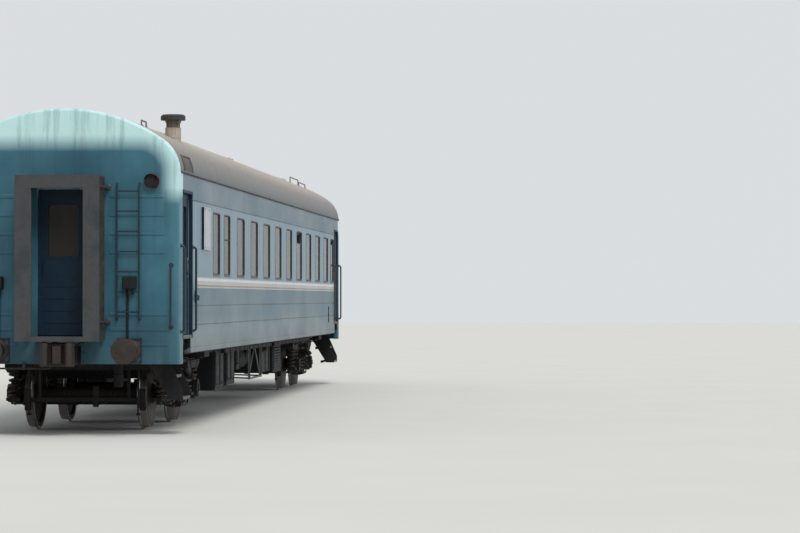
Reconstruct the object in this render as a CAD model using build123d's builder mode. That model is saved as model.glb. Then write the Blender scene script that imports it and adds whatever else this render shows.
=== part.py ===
from build123d import *
import math
import os

# Railway passenger coach, a sleeping coach on two four-wheel bogies.
# X runs along the coach, the front end is at -X, the right side is at -Y, Z = 0 is at the tips of the flanges.

# Rail and wheels
flange_height = 28
wheel_diameter = 950
wheel_base = 2400
bogie_overhang = 3300
wheel_back_spacing = 1440
wheel_width = 130
journal_spacing = 2036
rail_top = flange_height
axle_height = rail_top + wheel_diameter / 2

# Rooms along the coach, each behind one window, and the sections before and behind them
window_pitch = 1757
window_count = 9
front_section = 5641.5
rear_section = 2145.5

# Body shell, heights given above the rail head
body_length = window_count * window_pitch + front_section + rear_section
body_width = 3105
wall_thickness = 90
roof_thickness = 80
skirt_bottom = rail_top + 1065
post_bottom = rail_top + 930
floor_top = rail_top + 1300
floor_thickness = 130
eaves = rail_top + 3470
shoulder_radius = 550
shoulder_sweep = 56
gutter_depth = 14
gutter_height = 30
groove_heights = [rail_top + 1438, rail_top + 1700]
groove_depth = 5
groove_height = 12
drip_height = rail_top + 3153
drip_depth = 8
panel_joint = 0.3
end_corner_radius = 40
filler_width = 170
filler_height = 330
filler_depth = 25

half_length = body_length / 2
half_width = body_width / 2
inner_side = half_width - wall_thickness
inner_end = half_length - wall_thickness
deck_bottom = floor_top - floor_thickness

# Doors in the sides and in the ends
end_post_length = 300
door_width = 860
door_outer_jamb = half_length - end_post_length
door_inner_jamb = door_outer_jamb - door_width
door_head = rail_top + 3220
door_leaf_thickness = 40
door_leaf_depth = 52
door_gap = 12
door_edge_gap = 10
door_pivot_gap = 5
end_door_width = 700
end_door_height = 1950
end_door_gap = 10
handle_setback = 70
pivot_radius = 14
pivot_play = 0.5
door_window_width = 420
door_window_height = 700
door_window_rise = 1050
door_glass_thickness = 10
handle_radius = 11
handle_reach = 45
side_handle_reach = 34
handle_length = 180

# Step wells, flaps and steps
well_width = 655
well_post_gap = 65
well_side_gap = 12
well_outer = door_outer_jamb - well_post_gap
well_inner = well_outer - well_width
well_edge_gap = 6
skirt_gap = 10
skirt_end = well_inner - skirt_gap
threshold_thickness = 40
flap_thickness = 20
flap_gap = 10
flap_hinge_radius = 10
flap_reach = 440
step_count = 3
step_drop = 290
step_first_drop = 240
step_depth = 290
step_out = 115
step_thickness = 30
step_setback = 8
stringer_thickness = 8
stringer_foot = 40
stringer_drop = 150
stringer_tab = 30
stringer_rise = 90
stringer_width = 170

# Windows: glass and frames sit in the wall
window_bottom = rail_top + 2150
window_top = rail_top + 3030
window_corner = 50
frame_recess = 30
frame_depth = 45
frame_width = 38
frame_play = 0.3
glass_thickness = 8
glass_setback = 18
sash_rail = 30
filler_centre = (half_length - 2400, rail_top + 1465)
first_window = front_section + window_pitch / 2 - half_length
window_width = 920
dropped_sash = 200

# Inside: walls and berths
bulkhead_setback = 50
bulkhead_face = door_inner_jamb - bulkhead_setback
bulkhead_thickness = 60
bulkhead_door_width = 650
bulkhead_door_height = 1950
corridor_width = 780
partition_thickness = 30
room_door_width = 620
room_door_height = 1950
berth_width = 600
lower_berth_height = 450
upper_berth_rise = 1600
upper_berth_thickness = 70
table_rise = 730
table_thickness = 35
table_width = 480
table_length = 560
table_leg_width = 60
ceiling_rise = 2140

# Underframe
frame_bottom = rail_top + 1040
sill_bottom = rail_top + 900
centre_sill_width = 400
sill_width = 120
draft_box_length = 1150
draft_box_wall = 60
bolster_beam_length = 500
bolster_beam_bottom = 990
end_beam_length = 150
end_beam_rise = 58
end_beam_reach = 1280
cross_member_width = 120
cross_member_count = 13
pivot_seat_height = 975
pivot_seat_radius = 170
side_bearer_offset = 760
side_bearer_length = 240
side_bearer_width = 120
jacking_pad_offset = 1300
jacking_pad_length = 240
jacking_pad_width = 180
jacking_pad_thickness = 20

# Gangways, buffers and couplers
gangway_width = 900
bellows_length = 430
bellows_bottom = rail_top + 1235
bellows_clearance = 60
bellows_wall = 60
bellows_folds = 5
bellows_fold_depth = 45
faceplate_thickness = 60
faceplate_margin = 50
bridge_thickness = 20
passage_width = 700
coupler_height = rail_top + 1060
coupler_reach = 468
coupler_plane = half_length + coupler_reach
buffer_height = rail_top + 1110
buffer_spacing = 1770
buffer_head_radius = 170
buffer_reach = 520
buffer_sleeve_radius = 105
buffer_sleeve_length = 290
buffer_rod_radius = 62

# Bogies
bogie_offset = half_length - bogie_overhang
bogie_centres = [-bogie_offset, bogie_offset]
side_beam_offset = journal_spacing / 2
side_beam_width = 160
side_beam_bottom = 800
side_beam_top = 950
side_beam_length = 3640
transom_offset = 460
transom_width = 160
transom_drop = 110
end_beam_width = 80
axle_box_radius = 160
axle_box_inner = 925
axle_box_outer = 1125
axle_box_cover = 130
axle_box_cover_depth = 45
box_wing_reach = 400
box_wing_thickness = 45
box_wing_drop = 75
axle_spring_offset = 290
axle_spring_radius = 95
journal_radius = 65
journal_play = 0.5
journal_end = 1105
bolster_half_length = 170
bolster_top = 940
bolster_end_bottom = 640
bolster_end = 1190
central_spring_offset = 140
central_spring_radius = 115
plank_height = 300
plank_thickness = 40
hanger_offset = 330
hanger_radius = 18
seat_play = 0.3
shoe_play = 8
shoe_thickness = 46
shoe_width = 84
shoe_sweep = 34
brake_beam_depth = 40
brake_hanger_offset = 620
brake_hanger_width = 40
brake_hanger_length = 30
brake_beam_drop = 75
brake_beam_height = 60
shoe_angle = 8
bracket_length = 140
damper_top = (560, 880)
damper_foot = (100, 712)
damper_offset = 1235
damper_radius = 40
damper_rod_radius = 20
damper_body_share = 0.6
damper_eye_radius = 46
damper_bracket_length = 110
damper_bracket_height = 80
spring_coils = 5
spring_groove = 12

sides = [("right", -1), ("left", 1)]
ends = [("front", -1), ("rear", 1)]

os.makedirs("parts", exist_ok=True)


def roof_outline(inset):
    """Arcs of the roof section from the right eaves over to the left, set in by inset."""
    arc_centre = half_width - shoulder_radius
    rad = shoulder_radius - inset
    sweep = math.radians(shoulder_sweep)
    joint_y = arc_centre + shoulder_radius * math.cos(sweep)
    joint_z = eaves + shoulder_radius * math.sin(sweep)
    crown_radius = joint_y / math.cos(sweep)
    crown_centre = joint_z - crown_radius * math.sin(sweep)
    crown_sweep = 180 - 2 * shoulder_sweep
    CenterArc((arc_centre, eaves), rad, 0, shoulder_sweep)
    CenterArc((0, crown_centre), crown_radius - inset, shoulder_sweep, crown_sweep)
    CenterArc((-arc_centre, eaves), rad, 180 - shoulder_sweep, shoulder_sweep)


def roof_height(offset):
    """Height of the roof's outer face at a distance from the centre line."""
    arc_centre = half_width - shoulder_radius
    sweep = math.radians(shoulder_sweep)
    joint_y = arc_centre + shoulder_radius * math.cos(sweep)
    joint_z = eaves + shoulder_radius * math.sin(sweep)
    if abs(offset) > joint_y:
        return eaves + math.sqrt(shoulder_radius**2 - (abs(offset) - arc_centre) ** 2)
    crown_radius = joint_y / math.cos(sweep)
    crown_centre = joint_z - crown_radius * math.sin(sweep)
    return crown_centre + math.sqrt(crown_radius**2 - offset**2)


# Windows of one side, columns: centre along X, width, drop of the upper sash, height of a fixed transom
window_height = window_top - window_bottom
windows_right = [(3670 - half_length, 740, 0, 0), (4865 - half_length, 690, 0, 360)]
for number in range(window_count):
    drop = dropped_sash if number == 5 else 0
    windows_right.append((first_window + number * window_pitch, window_width, drop, 0))
windows_right.append((half_length - 1635, 710, 100, 0))
windows_left = [(x, width, 0, 0) for x, width, drop, transom in windows_right]
windows = {"right": windows_right, "left": windows_left}

# Side walls: a plate a side with its windows cut, grooves and a drip moulding, and the panels at the doors
for side, sign in sides:
    wall_plane = Plane.XZ.offset(-sign * inner_side)
    face_plane = Plane.XZ.offset(-sign * (half_width - groove_depth))
    drip_plane = Plane.XZ.offset(-sign * half_width)
    with BuildPart() as side_wall:
        with BuildSketch(wall_plane):
            with Locations((0, (skirt_bottom + eaves) / 2)):
                Rectangle(2 * door_inner_jamb, eaves - skirt_bottom)
            panel_start = door_inner_jamb + panel_joint
            for end, end_sign in ends:
                skirt_height = floor_top - threshold_thickness - skirt_bottom
                with Locations((end_sign * (panel_start + skirt_end) / 2, skirt_bottom + skirt_height / 2)):
                    Rectangle(skirt_end - panel_start, skirt_height)
                with Locations((end_sign * (panel_start + door_outer_jamb) / 2, (door_head + eaves) / 2)):
                    Rectangle(door_outer_jamb - panel_start, eaves - door_head)
            for x, width, drop, transom in windows[side]:
                with Locations((x, (window_bottom + window_top) / 2)):
                    RectangleRounded(width, window_height, window_corner, mode=Mode.SUBTRACT)
        extrude(amount=-sign * wall_thickness)
        with BuildSketch(face_plane):
            for height in groove_heights:
                with Locations((0, height)):
                    Rectangle(2 * half_length, groove_height)
        extrude(amount=-sign * groove_depth, mode=Mode.SUBTRACT)
        with BuildSketch(Plane.XZ.offset(-sign * (half_width - filler_depth))):
            with Locations(filler_centre):
                Rectangle(filler_width, filler_height)
        extrude(amount=-sign * filler_depth, mode=Mode.SUBTRACT)
        with BuildSketch(drip_plane):
            with Locations((0, drip_height)):
                Rectangle(2 * door_inner_jamb, groove_height)
        extrude(amount=-sign * drip_depth)
        for end, end_sign in ends:
            pivot_x = end_sign * (door_outer_jamb - door_leaf_thickness / 2 - door_pivot_gap)
            pivot_y = sign * (half_width - door_leaf_depth - door_leaf_thickness / 2)
            with BuildSketch(Plane.XY.offset(door_head)):
                with Locations((pivot_x, pivot_y)):
                    Circle(pivot_radius)
            extrude(amount=-(door_gap - pivot_play))
    side_wall.part.label = f"side_wall_{side}"
    export_step(side_wall.part, f"parts/side_wall_{side}.step")

# Window frames and panes, a node of each for either side
for side, sign in sides:
    frame_plane = Plane.XZ.offset(-sign * (half_width - frame_recess - frame_depth))
    with BuildPart() as window_frames:
        with BuildSketch(frame_plane):
            for x, width, drop, transom in windows[side]:
                with Locations((x, (window_bottom + window_top) / 2)):
                    RectangleRounded(
                        width - 2 * frame_play, window_height - 2 * frame_play, window_corner
                    )
                    RectangleRounded(
                        width - 2 * frame_width,
                        window_height - 2 * frame_width,
                        window_corner - frame_width / 2,
                        mode=Mode.SUBTRACT,
                    )
                rail_height = transom if transom else drop
                if rail_height:
                    with Locations((x, window_top - frame_width - rail_height)):
                        Rectangle(width - 2 * frame_width + 2, sash_rail)
        extrude(amount=-sign * frame_depth)
    window_frames.part.label = f"window_frames_{side}"
    export_step(window_frames.part, f"parts/window_frames_{side}.step")

    glass_plane = Plane.XZ.offset(-sign * (half_width - frame_recess - glass_setback - glass_thickness))
    with BuildPart() as window_glass:
        with BuildSketch(glass_plane):
            for x, width, drop, transom in windows[side]:
                pane_bottom = window_bottom + frame_width + frame_play
                rail_height = transom if transom else drop
                pane_top = window_top - frame_width - frame_play
                if rail_height:
                    rail_bottom = window_top - frame_width - rail_height - sash_rail / 2
                    pane_width = width - 2 * frame_width - 2 * frame_play
                    lower = rail_bottom - frame_play - pane_bottom
                    with Locations((x, pane_bottom + lower / 2)):
                        RectangleRounded(pane_width, lower, window_corner - frame_width / 2)
                    if transom:
                        upper_bottom = rail_bottom + sash_rail + frame_play
                        with Locations((x, (upper_bottom + pane_top) / 2)):
                            RectangleRounded(
                                pane_width, pane_top - upper_bottom, window_corner - frame_width / 2
                            )
                else:
                    with Locations((x, (pane_bottom + pane_top) / 2)):
                        RectangleRounded(
                            width - 2 * frame_width - 2 * frame_play,
                            pane_top - pane_bottom,
                            window_corner - frame_width / 2,
                        )
        extrude(amount=-sign * glass_thickness)
    window_glass.part.label = f"window_glass_{side}"
    export_step(window_glass.part, f"parts/window_glass_{side}.step")

# Roof: one shell from end wall to end wall, with a gutter along both eaves
with BuildPart() as roof:
    with BuildSketch(Plane.YZ.offset(-inner_end)):
        with BuildLine():
            roof_outline(0)
            Line((half_width, eaves), (half_width - roof_thickness, eaves))
            roof_outline(roof_thickness)
            Line((-half_width, eaves), (roof_thickness - half_width, eaves))
        make_face()
    extrude(amount=2 * inner_end)
    with BuildSketch(Plane.YZ.offset(-inner_end)):
        for side, sign in sides:
            with Locations((sign * (half_width + gutter_depth / 2 - 1), eaves + gutter_height / 2)):
                Rectangle(gutter_depth + 2, gutter_height)
    extrude(amount=2 * inner_end)
roof.part.label = "roof"
export_step(roof.part, "parts/roof.step")

# End walls with the corner posts, the gangway door's opening and the coupler's cut-out
coupler_cut_width = 480
coupler_cut_height = 380
striker_width = 70
striker_depth = 30
passage_middle = floor_top + end_door_height / 2
for end, sign in ends:
    with BuildPart() as end_wall:
        with BuildSketch(Plane.YZ.offset(sign * inner_end)):
            with BuildLine():
                roof_outline(0)
                Polyline(
                    (half_width, eaves),
                    (half_width, post_bottom),
                    (-half_width, post_bottom),
                    (-half_width, eaves),
                )
            make_face()
            with Locations((0, floor_top + end_door_height / 2)):
                Rectangle(end_door_width, end_door_height, mode=Mode.SUBTRACT)
            with Locations((0, post_bottom + coupler_cut_height / 2)):
                Rectangle(coupler_cut_width, coupler_cut_height, mode=Mode.SUBTRACT)
        extrude(amount=sign * wall_thickness)
        outer_face = end_wall.faces().sort_by(Axis.X)[-1 if sign > 0 else 0]
        rim = [edge for edge in outer_face.outer_wire().edges() if edge.center().Z > passage_middle]
        fillet(rim, radius=end_corner_radius)
        striker_top = bellows_bottom - seat_play
        with BuildSketch(Plane.YZ.offset(sign * half_length)):
            for side, side_sign in sides:
                striker_y = side_sign * (coupler_cut_width + striker_width) / 2
                with Locations((striker_y, (post_bottom + striker_top) / 2)):
                    Rectangle(striker_width, striker_top - post_bottom)
        extrude(amount=sign * striker_depth)
        post_length = inner_end - door_outer_jamb
        post_centre = (inner_end + door_outer_jamb) / 2
        with BuildSketch(Plane.XY.offset(post_bottom)):
            for side, side_sign in sides:
                with Locations((sign * post_centre, side_sign * (half_width - wall_thickness / 2))):
                    Rectangle(post_length, wall_thickness)
        extrude(amount=eaves - post_bottom)
        pivot_x = sign * (inner_end + door_leaf_thickness / 2 + end_door_gap)
        pivot_y = sign * (end_door_width / 2 - door_leaf_thickness / 2 - door_pivot_gap)
        with BuildSketch(Plane.XY.offset(floor_top)):
            with Locations((pivot_x, pivot_y)):
                Circle(pivot_radius)
        extrude(amount=door_gap - pivot_play)
        with BuildSketch(Plane.XY.offset(floor_top + end_door_height)):
            with Locations((pivot_x, pivot_y)):
                Circle(pivot_radius)
        extrude(amount=-(door_gap - pivot_play))
    end_wall.part.label = f"end_wall_{end}"
    export_step(end_wall.part, f"parts/end_wall_{end}.step")

# Floor deck round four step wells: a slab between the wells, a strip between each pair, one outside each well,
# the thresholds under the side doors and the hinge stubs of the flaps
well_centre = (well_inner + well_outer) / 2
well_side = inner_side - well_side_gap
flap_axis = well_side - flap_gap - flap_reach
flap_axis_height = floor_top - flap_thickness / 2
well_edge = flap_axis - flap_hinge_radius - well_edge_gap
corners = [(end, x_sign, side, y_sign) for end, x_sign in ends for side, y_sign in sides]
threshold_width = half_width - inner_side - panel_joint
with BuildPart() as floor_deck:
    with BuildSketch(Plane.XY.offset(deck_bottom)):
        Rectangle(2 * well_inner, 2 * inner_side)
        strip_start = well_inner + panel_joint
        for end, x_sign in ends:
            with Locations((x_sign * (strip_start + inner_end) / 2, 0)):
                Rectangle(inner_end - strip_start, 2 * well_edge)
        strip_side = well_edge + panel_joint
        for end, x_sign, side, y_sign in corners:
            with Locations((x_sign * (well_outer + inner_end) / 2, y_sign * (strip_side + inner_side) / 2)):
                Rectangle(inner_end - well_outer, inner_side - strip_side)
    extrude(amount=floor_thickness)
    with BuildSketch(Plane.XY.offset(floor_top)):
        for end, x_sign, side, y_sign in corners:
            threshold_x = x_sign * (door_inner_jamb + door_outer_jamb) / 2
            with Locations((threshold_x, y_sign * (half_width - threshold_width / 2))):
                Rectangle(door_outer_jamb - door_inner_jamb, threshold_width)
    extrude(amount=-threshold_thickness)
    for end, x_sign, side, y_sign in corners:
        for edge_x, direction in [(well_inner, 1), (well_outer, -1)]:
            stub_plane = Plane.YZ.offset(x_sign * edge_x)
            with BuildSketch(stub_plane):
                with Locations((y_sign * flap_axis, flap_axis_height)):
                    Circle(flap_hinge_radius)
            extrude(amount=x_sign * direction * (flap_gap - pivot_play))
floor_deck.part.label = "floor_deck"
export_step(floor_deck.part, "parts/floor_deck.step")

# Side doors: a leaf with a round hinge stile and its foot pin, a window with its pane and a lever handle on
# either face
for end, x_sign, side, y_sign in corners:
    pivot_x = x_sign * (door_outer_jamb - door_leaf_thickness / 2 - door_pivot_gap)
    pivot_y = y_sign * (half_width - door_leaf_depth - door_leaf_thickness / 2)
    free_x = x_sign * (door_inner_jamb + door_edge_gap)
    leaf_bottom = floor_top + door_gap
    leaf_height = door_head - door_gap - leaf_bottom
    leaf_width = abs(pivot_x - free_x)
    glass_x = (pivot_x + free_x) / 2
    glass_z = floor_top + door_window_rise + door_window_height / 2
    handle_x = free_x + x_sign * handle_setback
    handle_z = floor_top + 1000
    with BuildPart() as side_door:
        with BuildSketch(Plane.XY.offset(leaf_bottom)):
            with Locations(((pivot_x + free_x) / 2, pivot_y)):
                Rectangle(leaf_width, door_leaf_thickness)
            with Locations((pivot_x, pivot_y)):
                Circle(door_leaf_thickness / 2)
        extrude(amount=leaf_height)
        with BuildSketch(Plane.XY.offset(floor_top + pivot_play)):
            with Locations((pivot_x, pivot_y)):
                Circle(pivot_radius)
        extrude(amount=door_gap - pivot_play)
        with BuildSketch(Plane.XZ.offset(-pivot_y)):
            with Locations((glass_x, glass_z)):
                RectangleRounded(door_window_width, door_window_height, window_corner)
        extrude(amount=door_leaf_thickness, both=True, mode=Mode.SUBTRACT)
        with BuildSketch(Plane.XZ.offset(-pivot_y)):
            with Locations((glass_x, glass_z)):
                RectangleRounded(
                    door_window_width - 2 * frame_play, door_window_height - 2 * frame_play, window_corner
                )
        extrude(amount=door_glass_thickness / 2, both=True)
        for direction in (-1, 1):
            face_y = pivot_y + direction * door_leaf_thickness / 2
            with BuildSketch(Plane.XZ.offset(-face_y)):
                with Locations((handle_x, handle_z)):
                    Circle(handle_radius)
            extrude(amount=-direction * side_handle_reach)
            bar_y = face_y + direction * side_handle_reach
            with BuildSketch(Plane.XY.offset(handle_z - handle_length)):
                with Locations((handle_x, bar_y)):
                    Circle(handle_radius)
            extrude(amount=handle_length + handle_radius)
    side_door.part.label = f"side_door_{end}_{side}"
    export_step(side_door.part, f"parts/side_door_{end}_{side}.step")

# Step flaps: the floor plates over the steps, hinged along their inner edge
for end, x_sign, side, y_sign in corners:
    with BuildPart() as step_flap:
        with BuildSketch(Plane.YZ.offset(x_sign * (well_inner + flap_gap))):
            with Locations((y_sign * (flap_axis + flap_reach / 2), flap_axis_height)):
                Rectangle(flap_reach, flap_thickness)
            with Locations((y_sign * flap_axis, flap_axis_height)):
                Circle(flap_hinge_radius)
        extrude(amount=x_sign * (well_width - 2 * flap_gap))
    step_flap.part.label = f"step_flap_{end}_{side}"
    export_step(step_flap.part, f"parts/step_flap_{end}_{side}.step")

# End doors in the gangways
for end, sign in ends:
    pivot_x = sign * (inner_end + door_leaf_thickness / 2 + end_door_gap)
    pivot_y = sign * (end_door_width / 2 - door_leaf_thickness / 2 - door_pivot_gap)
    free_y = -sign * (end_door_width / 2 - door_edge_gap)
    leaf_bottom = floor_top + door_gap
    leaf_height = end_door_height - 2 * door_gap
    handle_y = free_y + sign * handle_setback
    handle_z = floor_top + 1000
    with BuildPart() as end_door:
        with BuildSketch(Plane.XY.offset(leaf_bottom)):
            with Locations((pivot_x, (pivot_y + free_y) / 2)):
                Rectangle(door_leaf_thickness, abs(pivot_y - free_y))
            with Locations((pivot_x, pivot_y)):
                Circle(door_leaf_thickness / 2)
        extrude(amount=leaf_height)
        with BuildSketch(Plane.YZ.offset(pivot_x)):
            with Locations(((pivot_y + free_y) / 2, floor_top + door_window_rise + door_window_height / 2)):
                RectangleRounded(door_window_width, door_window_height, window_corner)
        extrude(amount=door_leaf_thickness, both=True, mode=Mode.SUBTRACT)
        with BuildSketch(Plane.YZ.offset(pivot_x)):
            with Locations(((pivot_y + free_y) / 2, floor_top + door_window_rise + door_window_height / 2)):
                RectangleRounded(
                    door_window_width - 2 * frame_play, door_window_height - 2 * frame_play, window_corner
                )
        extrude(amount=door_glass_thickness / 2, both=True)
        for direction in (-1, 1):
            face_x = pivot_x + direction * door_leaf_thickness / 2
            with BuildSketch(Plane.YZ.offset(face_x)):
                with Locations((handle_y, handle_z)):
                    Circle(handle_radius)
            extrude(amount=direction * handle_reach)
            with BuildSketch(Plane.XY.offset(handle_z - handle_length)):
                with Locations((face_x + direction * handle_reach, handle_y)):
                    Circle(handle_radius)
            extrude(amount=handle_length + handle_radius)
    end_door.part.label = f"end_door_{end}"
    export_step(end_door.part, f"parts/end_door_{end}.step")

# Entry steps: three treads between two stringers under each side door
for end, x_sign in ends:
    with BuildPart() as entry_steps:
        for side, y_sign in sides:
            for stringer_x in (well_inner, well_outer + stringer_thickness):
                with BuildSketch(Plane.YZ.offset(x_sign * stringer_x)):
                    with BuildLine():
                        top_tread = floor_top - step_first_drop
                        low_tread = top_tread - (step_count - 1) * step_drop
                        step_face = half_width - step_setback
                        step_back = flap_axis + well_side_gap
                        top_nose = step_face - (step_count - 1) * step_out
                        Polyline(
                            (y_sign * step_back, deck_bottom),
                            (y_sign * inner_side, deck_bottom),
                            (y_sign * inner_side, floor_top - threshold_thickness),
                            (y_sign * step_face, floor_top - threshold_thickness),
                            (y_sign * step_face, deck_bottom - stringer_tab),
                            (y_sign * (top_nose + stringer_tab), top_tread - stringer_tab),
                            (y_sign * step_face, low_tread + stringer_rise),
                            (y_sign * step_face, low_tread - stringer_foot),
                            (y_sign * (step_face - stringer_width), low_tread - stringer_foot),
                            (y_sign * step_back, deck_bottom - stringer_drop),
                            close=True,
                        )
                    make_face()
                extrude(amount=-x_sign * stringer_thickness)
            for number in range(step_count):
                tread_top = floor_top - step_first_drop - number * step_drop
                tread_outer = half_width - step_setback - (step_count - 1 - number) * step_out
                with BuildSketch(Plane.XY.offset(tread_top)):
                    with Locations((x_sign * well_centre, y_sign * (tread_outer - step_depth / 2))):
                        Rectangle(well_width, step_depth)
                extrude(amount=-step_thickness)
    entry_steps.part.label = f"entry_steps_{end}"
    export_step(entry_steps.part, f"parts/entry_steps_{end}.step")

# Inside walls: vestibule bulkheads, the corridor wall and the walls between the rooms
corridor_face = inner_side - corridor_width
with BuildPart() as bulkheads:
    for end, sign in ends:
        with BuildSketch(Plane.YZ.offset(sign * bulkhead_face)):
            with BuildLine():
                roof_outline(roof_thickness)
                Polyline(
                    (half_width - roof_thickness, eaves),
                    (inner_side, eaves),
                    (inner_side, floor_top),
                    (-inner_side, floor_top),
                    (-inner_side, eaves),
                    (roof_thickness - half_width, eaves),
                )
            make_face()
            with Locations((corridor_face + corridor_width / 2, floor_top + bulkhead_door_height / 2)):
                Rectangle(bulkhead_door_width, bulkhead_door_height, mode=Mode.SUBTRACT)
        extrude(amount=-sign * bulkhead_thickness)
bulkheads.part.label = "bulkheads"
export_step(bulkheads.part, "parts/bulkheads.step")

room_end = bulkhead_face - bulkhead_thickness
first_partition = first_window - window_pitch / 2
partition_places = [first_partition + number * window_pitch for number in range(window_count + 1)]
service_walls = [2950 - half_length, 4280 - half_length]
room_partitions = service_walls + partition_places
room_door_places = [place + window_pitch / 2 for place in partition_places[:-1]]
panel_starts = [-room_end] + [place + room_door_width / 2 for place in room_door_places]
panel_ends = [place - room_door_width / 2 for place in room_door_places] + [room_end]
lintel_height = ceiling_rise - room_door_height
with BuildPart() as corridor_wall:
    with BuildSketch(Plane.XZ.offset(-corridor_face)):
        for start, finish in zip(panel_starts, panel_ends):
            with Locations(((start + finish) / 2, floor_top + ceiling_rise / 2)):
                Rectangle(finish - start, ceiling_rise)
        for place in room_door_places:
            with Locations((place, floor_top + room_door_height + lintel_height / 2)):
                Rectangle(room_door_width - 2 * panel_joint, lintel_height)
    extrude(amount=partition_thickness)
corridor_wall.part.label = "corridor_wall"
export_step(corridor_wall.part, "parts/corridor_wall.step")

room_depth = corridor_face - partition_thickness + inner_side
room_middle = (corridor_face - partition_thickness - inner_side) / 2
with BuildPart() as room_walls:
    with BuildSketch(Plane.XY.offset(floor_top)):
        for place in room_partitions:
            with Locations((place, room_middle)):
                Rectangle(partition_thickness, room_depth)
    extrude(amount=ceiling_rise)
room_walls.part.label = "room_walls"
export_step(room_walls.part, "parts/room_walls.step")

# Berths stand against both faces of the walls between the sleeping rooms
berth_offset = partition_thickness / 2 + berth_width / 2
berth_columns = []
for number, place in enumerate(partition_places):
    if number > 0:
        berth_columns.append(place - berth_offset)
    if number < window_count:
        berth_columns.append(place + berth_offset)
with BuildPart() as lower_berths:
    with BuildSketch(Plane.XY.offset(floor_top)):
        for place in berth_columns:
            with Locations((place, room_middle)):
                Rectangle(berth_width, room_depth)
    extrude(amount=lower_berth_height)
lower_berths.part.label = "lower_berths"
export_step(lower_berths.part, "parts/lower_berths.step")

with BuildPart() as upper_berths:
    with BuildSketch(Plane.XY.offset(floor_top + upper_berth_rise)):
        for place in berth_columns:
            with Locations((place, room_middle)):
                Rectangle(berth_width, room_depth)
    extrude(amount=upper_berth_thickness)
upper_berths.part.label = "upper_berths"
export_step(upper_berths.part, "parts/upper_berths.step")

table_leg_height = table_rise - panel_joint
with BuildPart() as tables:
    for place in partition_places[:-1]:
        with BuildSketch(Plane.XY.offset(floor_top + table_rise)):
            with Locations((place + window_pitch / 2, table_length / 2 - inner_side)):
                Rectangle(table_width, table_length)
        extrude(amount=table_thickness)
        with BuildSketch(Plane.XZ.offset(inner_side)):
            with Locations((place + window_pitch / 2, floor_top + table_leg_height / 2)):
                Rectangle(table_leg_width, table_leg_height)
        extrude(amount=-partition_thickness)
tables.part.label = "tables"
export_step(tables.part, "parts/tables.step")

# Underframe of single beams: centre sills, side sills, cross members, bolster beams, draft boxes, end beams,
# with the pivot seats, side bearers and jacking pads under the bolster beams
frame_side = inner_side
sill_inner = centre_sill_width / 2 - sill_width - panel_joint
sill_outer = centre_sill_width / 2 + panel_joint
side_sill_face = frame_side - sill_width - panel_joint
side_sill_end = well_inner - stringer_thickness
bolster_edge = bolster_beam_length / 2 + panel_joint
side_sill_spans = [
    (-side_sill_end, -bogie_offset - bolster_edge),
    (bolster_edge - bogie_offset, bogie_offset - bolster_edge),
    (bogie_offset + bolster_edge, side_sill_end),
]
# Start and end of each cross member, those beside a bolster beam cut back to it
member_spans = []
for number in range(cross_member_count):
    place = (number - (cross_member_count - 1) / 2) * window_pitch
    member_start = place - cross_member_width / 2
    member_end = place + cross_member_width / 2
    for centre in bogie_centres:
        if member_start < centre + bolster_edge < member_end:
            member_start = centre + bolster_edge
        if member_start < centre - bolster_edge < member_end:
            member_end = centre - bolster_edge
    member_spans.append((member_start, member_end))
with BuildPart() as underframe:
    with BuildSketch(Plane.XY.offset(frame_bottom)):
        for side, sign in sides:
            for start, finish in side_sill_spans:
                with Locations(((start + finish) / 2, sign * (frame_side - sill_width / 2))):
                    Rectangle(finish - start, sill_width)
            for start, finish in member_spans:
                with Locations(((start + finish) / 2, sign * (sill_outer + side_sill_face) / 2)):
                    Rectangle(finish - start, side_sill_face - sill_outer)
        for start, finish in member_spans:
            with Locations(((start + finish) / 2, 0)):
                Rectangle(finish - start, 2 * sill_inner)
    extrude(amount=deck_bottom - frame_bottom)
    with BuildSketch(Plane.XY.offset(bolster_beam_bottom)):
        for side, sign in sides:
            with Locations((0, sign * (centre_sill_width - sill_width) / 2)):
                Rectangle(2 * inner_end, sill_width)
            for centre in bogie_centres:
                with Locations((centre, sign * (sill_outer + frame_side) / 2)):
                    Rectangle(bolster_beam_length, frame_side - sill_outer)
        for centre in bogie_centres:
            with Locations((centre, 0)):
                Rectangle(bolster_beam_length, 2 * sill_inner)
    extrude(amount=deck_bottom - bolster_beam_bottom)
    with BuildSketch(Plane.XY.offset(sill_bottom)):
        for end, sign in ends:
            for side, y_sign in sides:
                box_y = y_sign * (centre_sill_width / 2 - draft_box_wall / 2)
                with Locations((sign * (inner_end - draft_box_length / 2), box_y)):
                    Rectangle(draft_box_length, draft_box_wall)
    extrude(amount=bolster_beam_bottom - panel_joint - sill_bottom)
    with BuildSketch(Plane.XY.offset(pivot_seat_height)):
        for centre in bogie_centres:
            with Locations((centre, 0)):
                Circle(pivot_seat_radius)
            for side, sign in sides:
                with Locations((centre, sign * side_bearer_offset)):
                    Rectangle(side_bearer_length + 120, side_bearer_width + 60)
    extrude(amount=bolster_beam_bottom - panel_joint - pivot_seat_height)
    with BuildSketch(Plane.XY.offset(bolster_beam_bottom - jacking_pad_thickness)):
        for centre in bogie_centres:
            for side, sign in sides:
                with Locations((centre, sign * jacking_pad_offset)):
                    Rectangle(jacking_pad_length, jacking_pad_width)
    extrude(amount=jacking_pad_thickness - panel_joint)
    with BuildSketch(Plane.XY.offset(sill_bottom + end_beam_rise)):
        for end, sign in ends:
            for side, y_sign in sides:
                with Locations((sign * (inner_end - end_beam_length / 2), y_sign * (end_beam_reach + sill_outer) / 2)):
                    Rectangle(end_beam_length, end_beam_reach - sill_outer)
    extrude(amount=deck_bottom - sill_bottom - end_beam_rise)
underframe.part.label = "underframe"
export_step(underframe.part, "parts/underframe.step")

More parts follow.
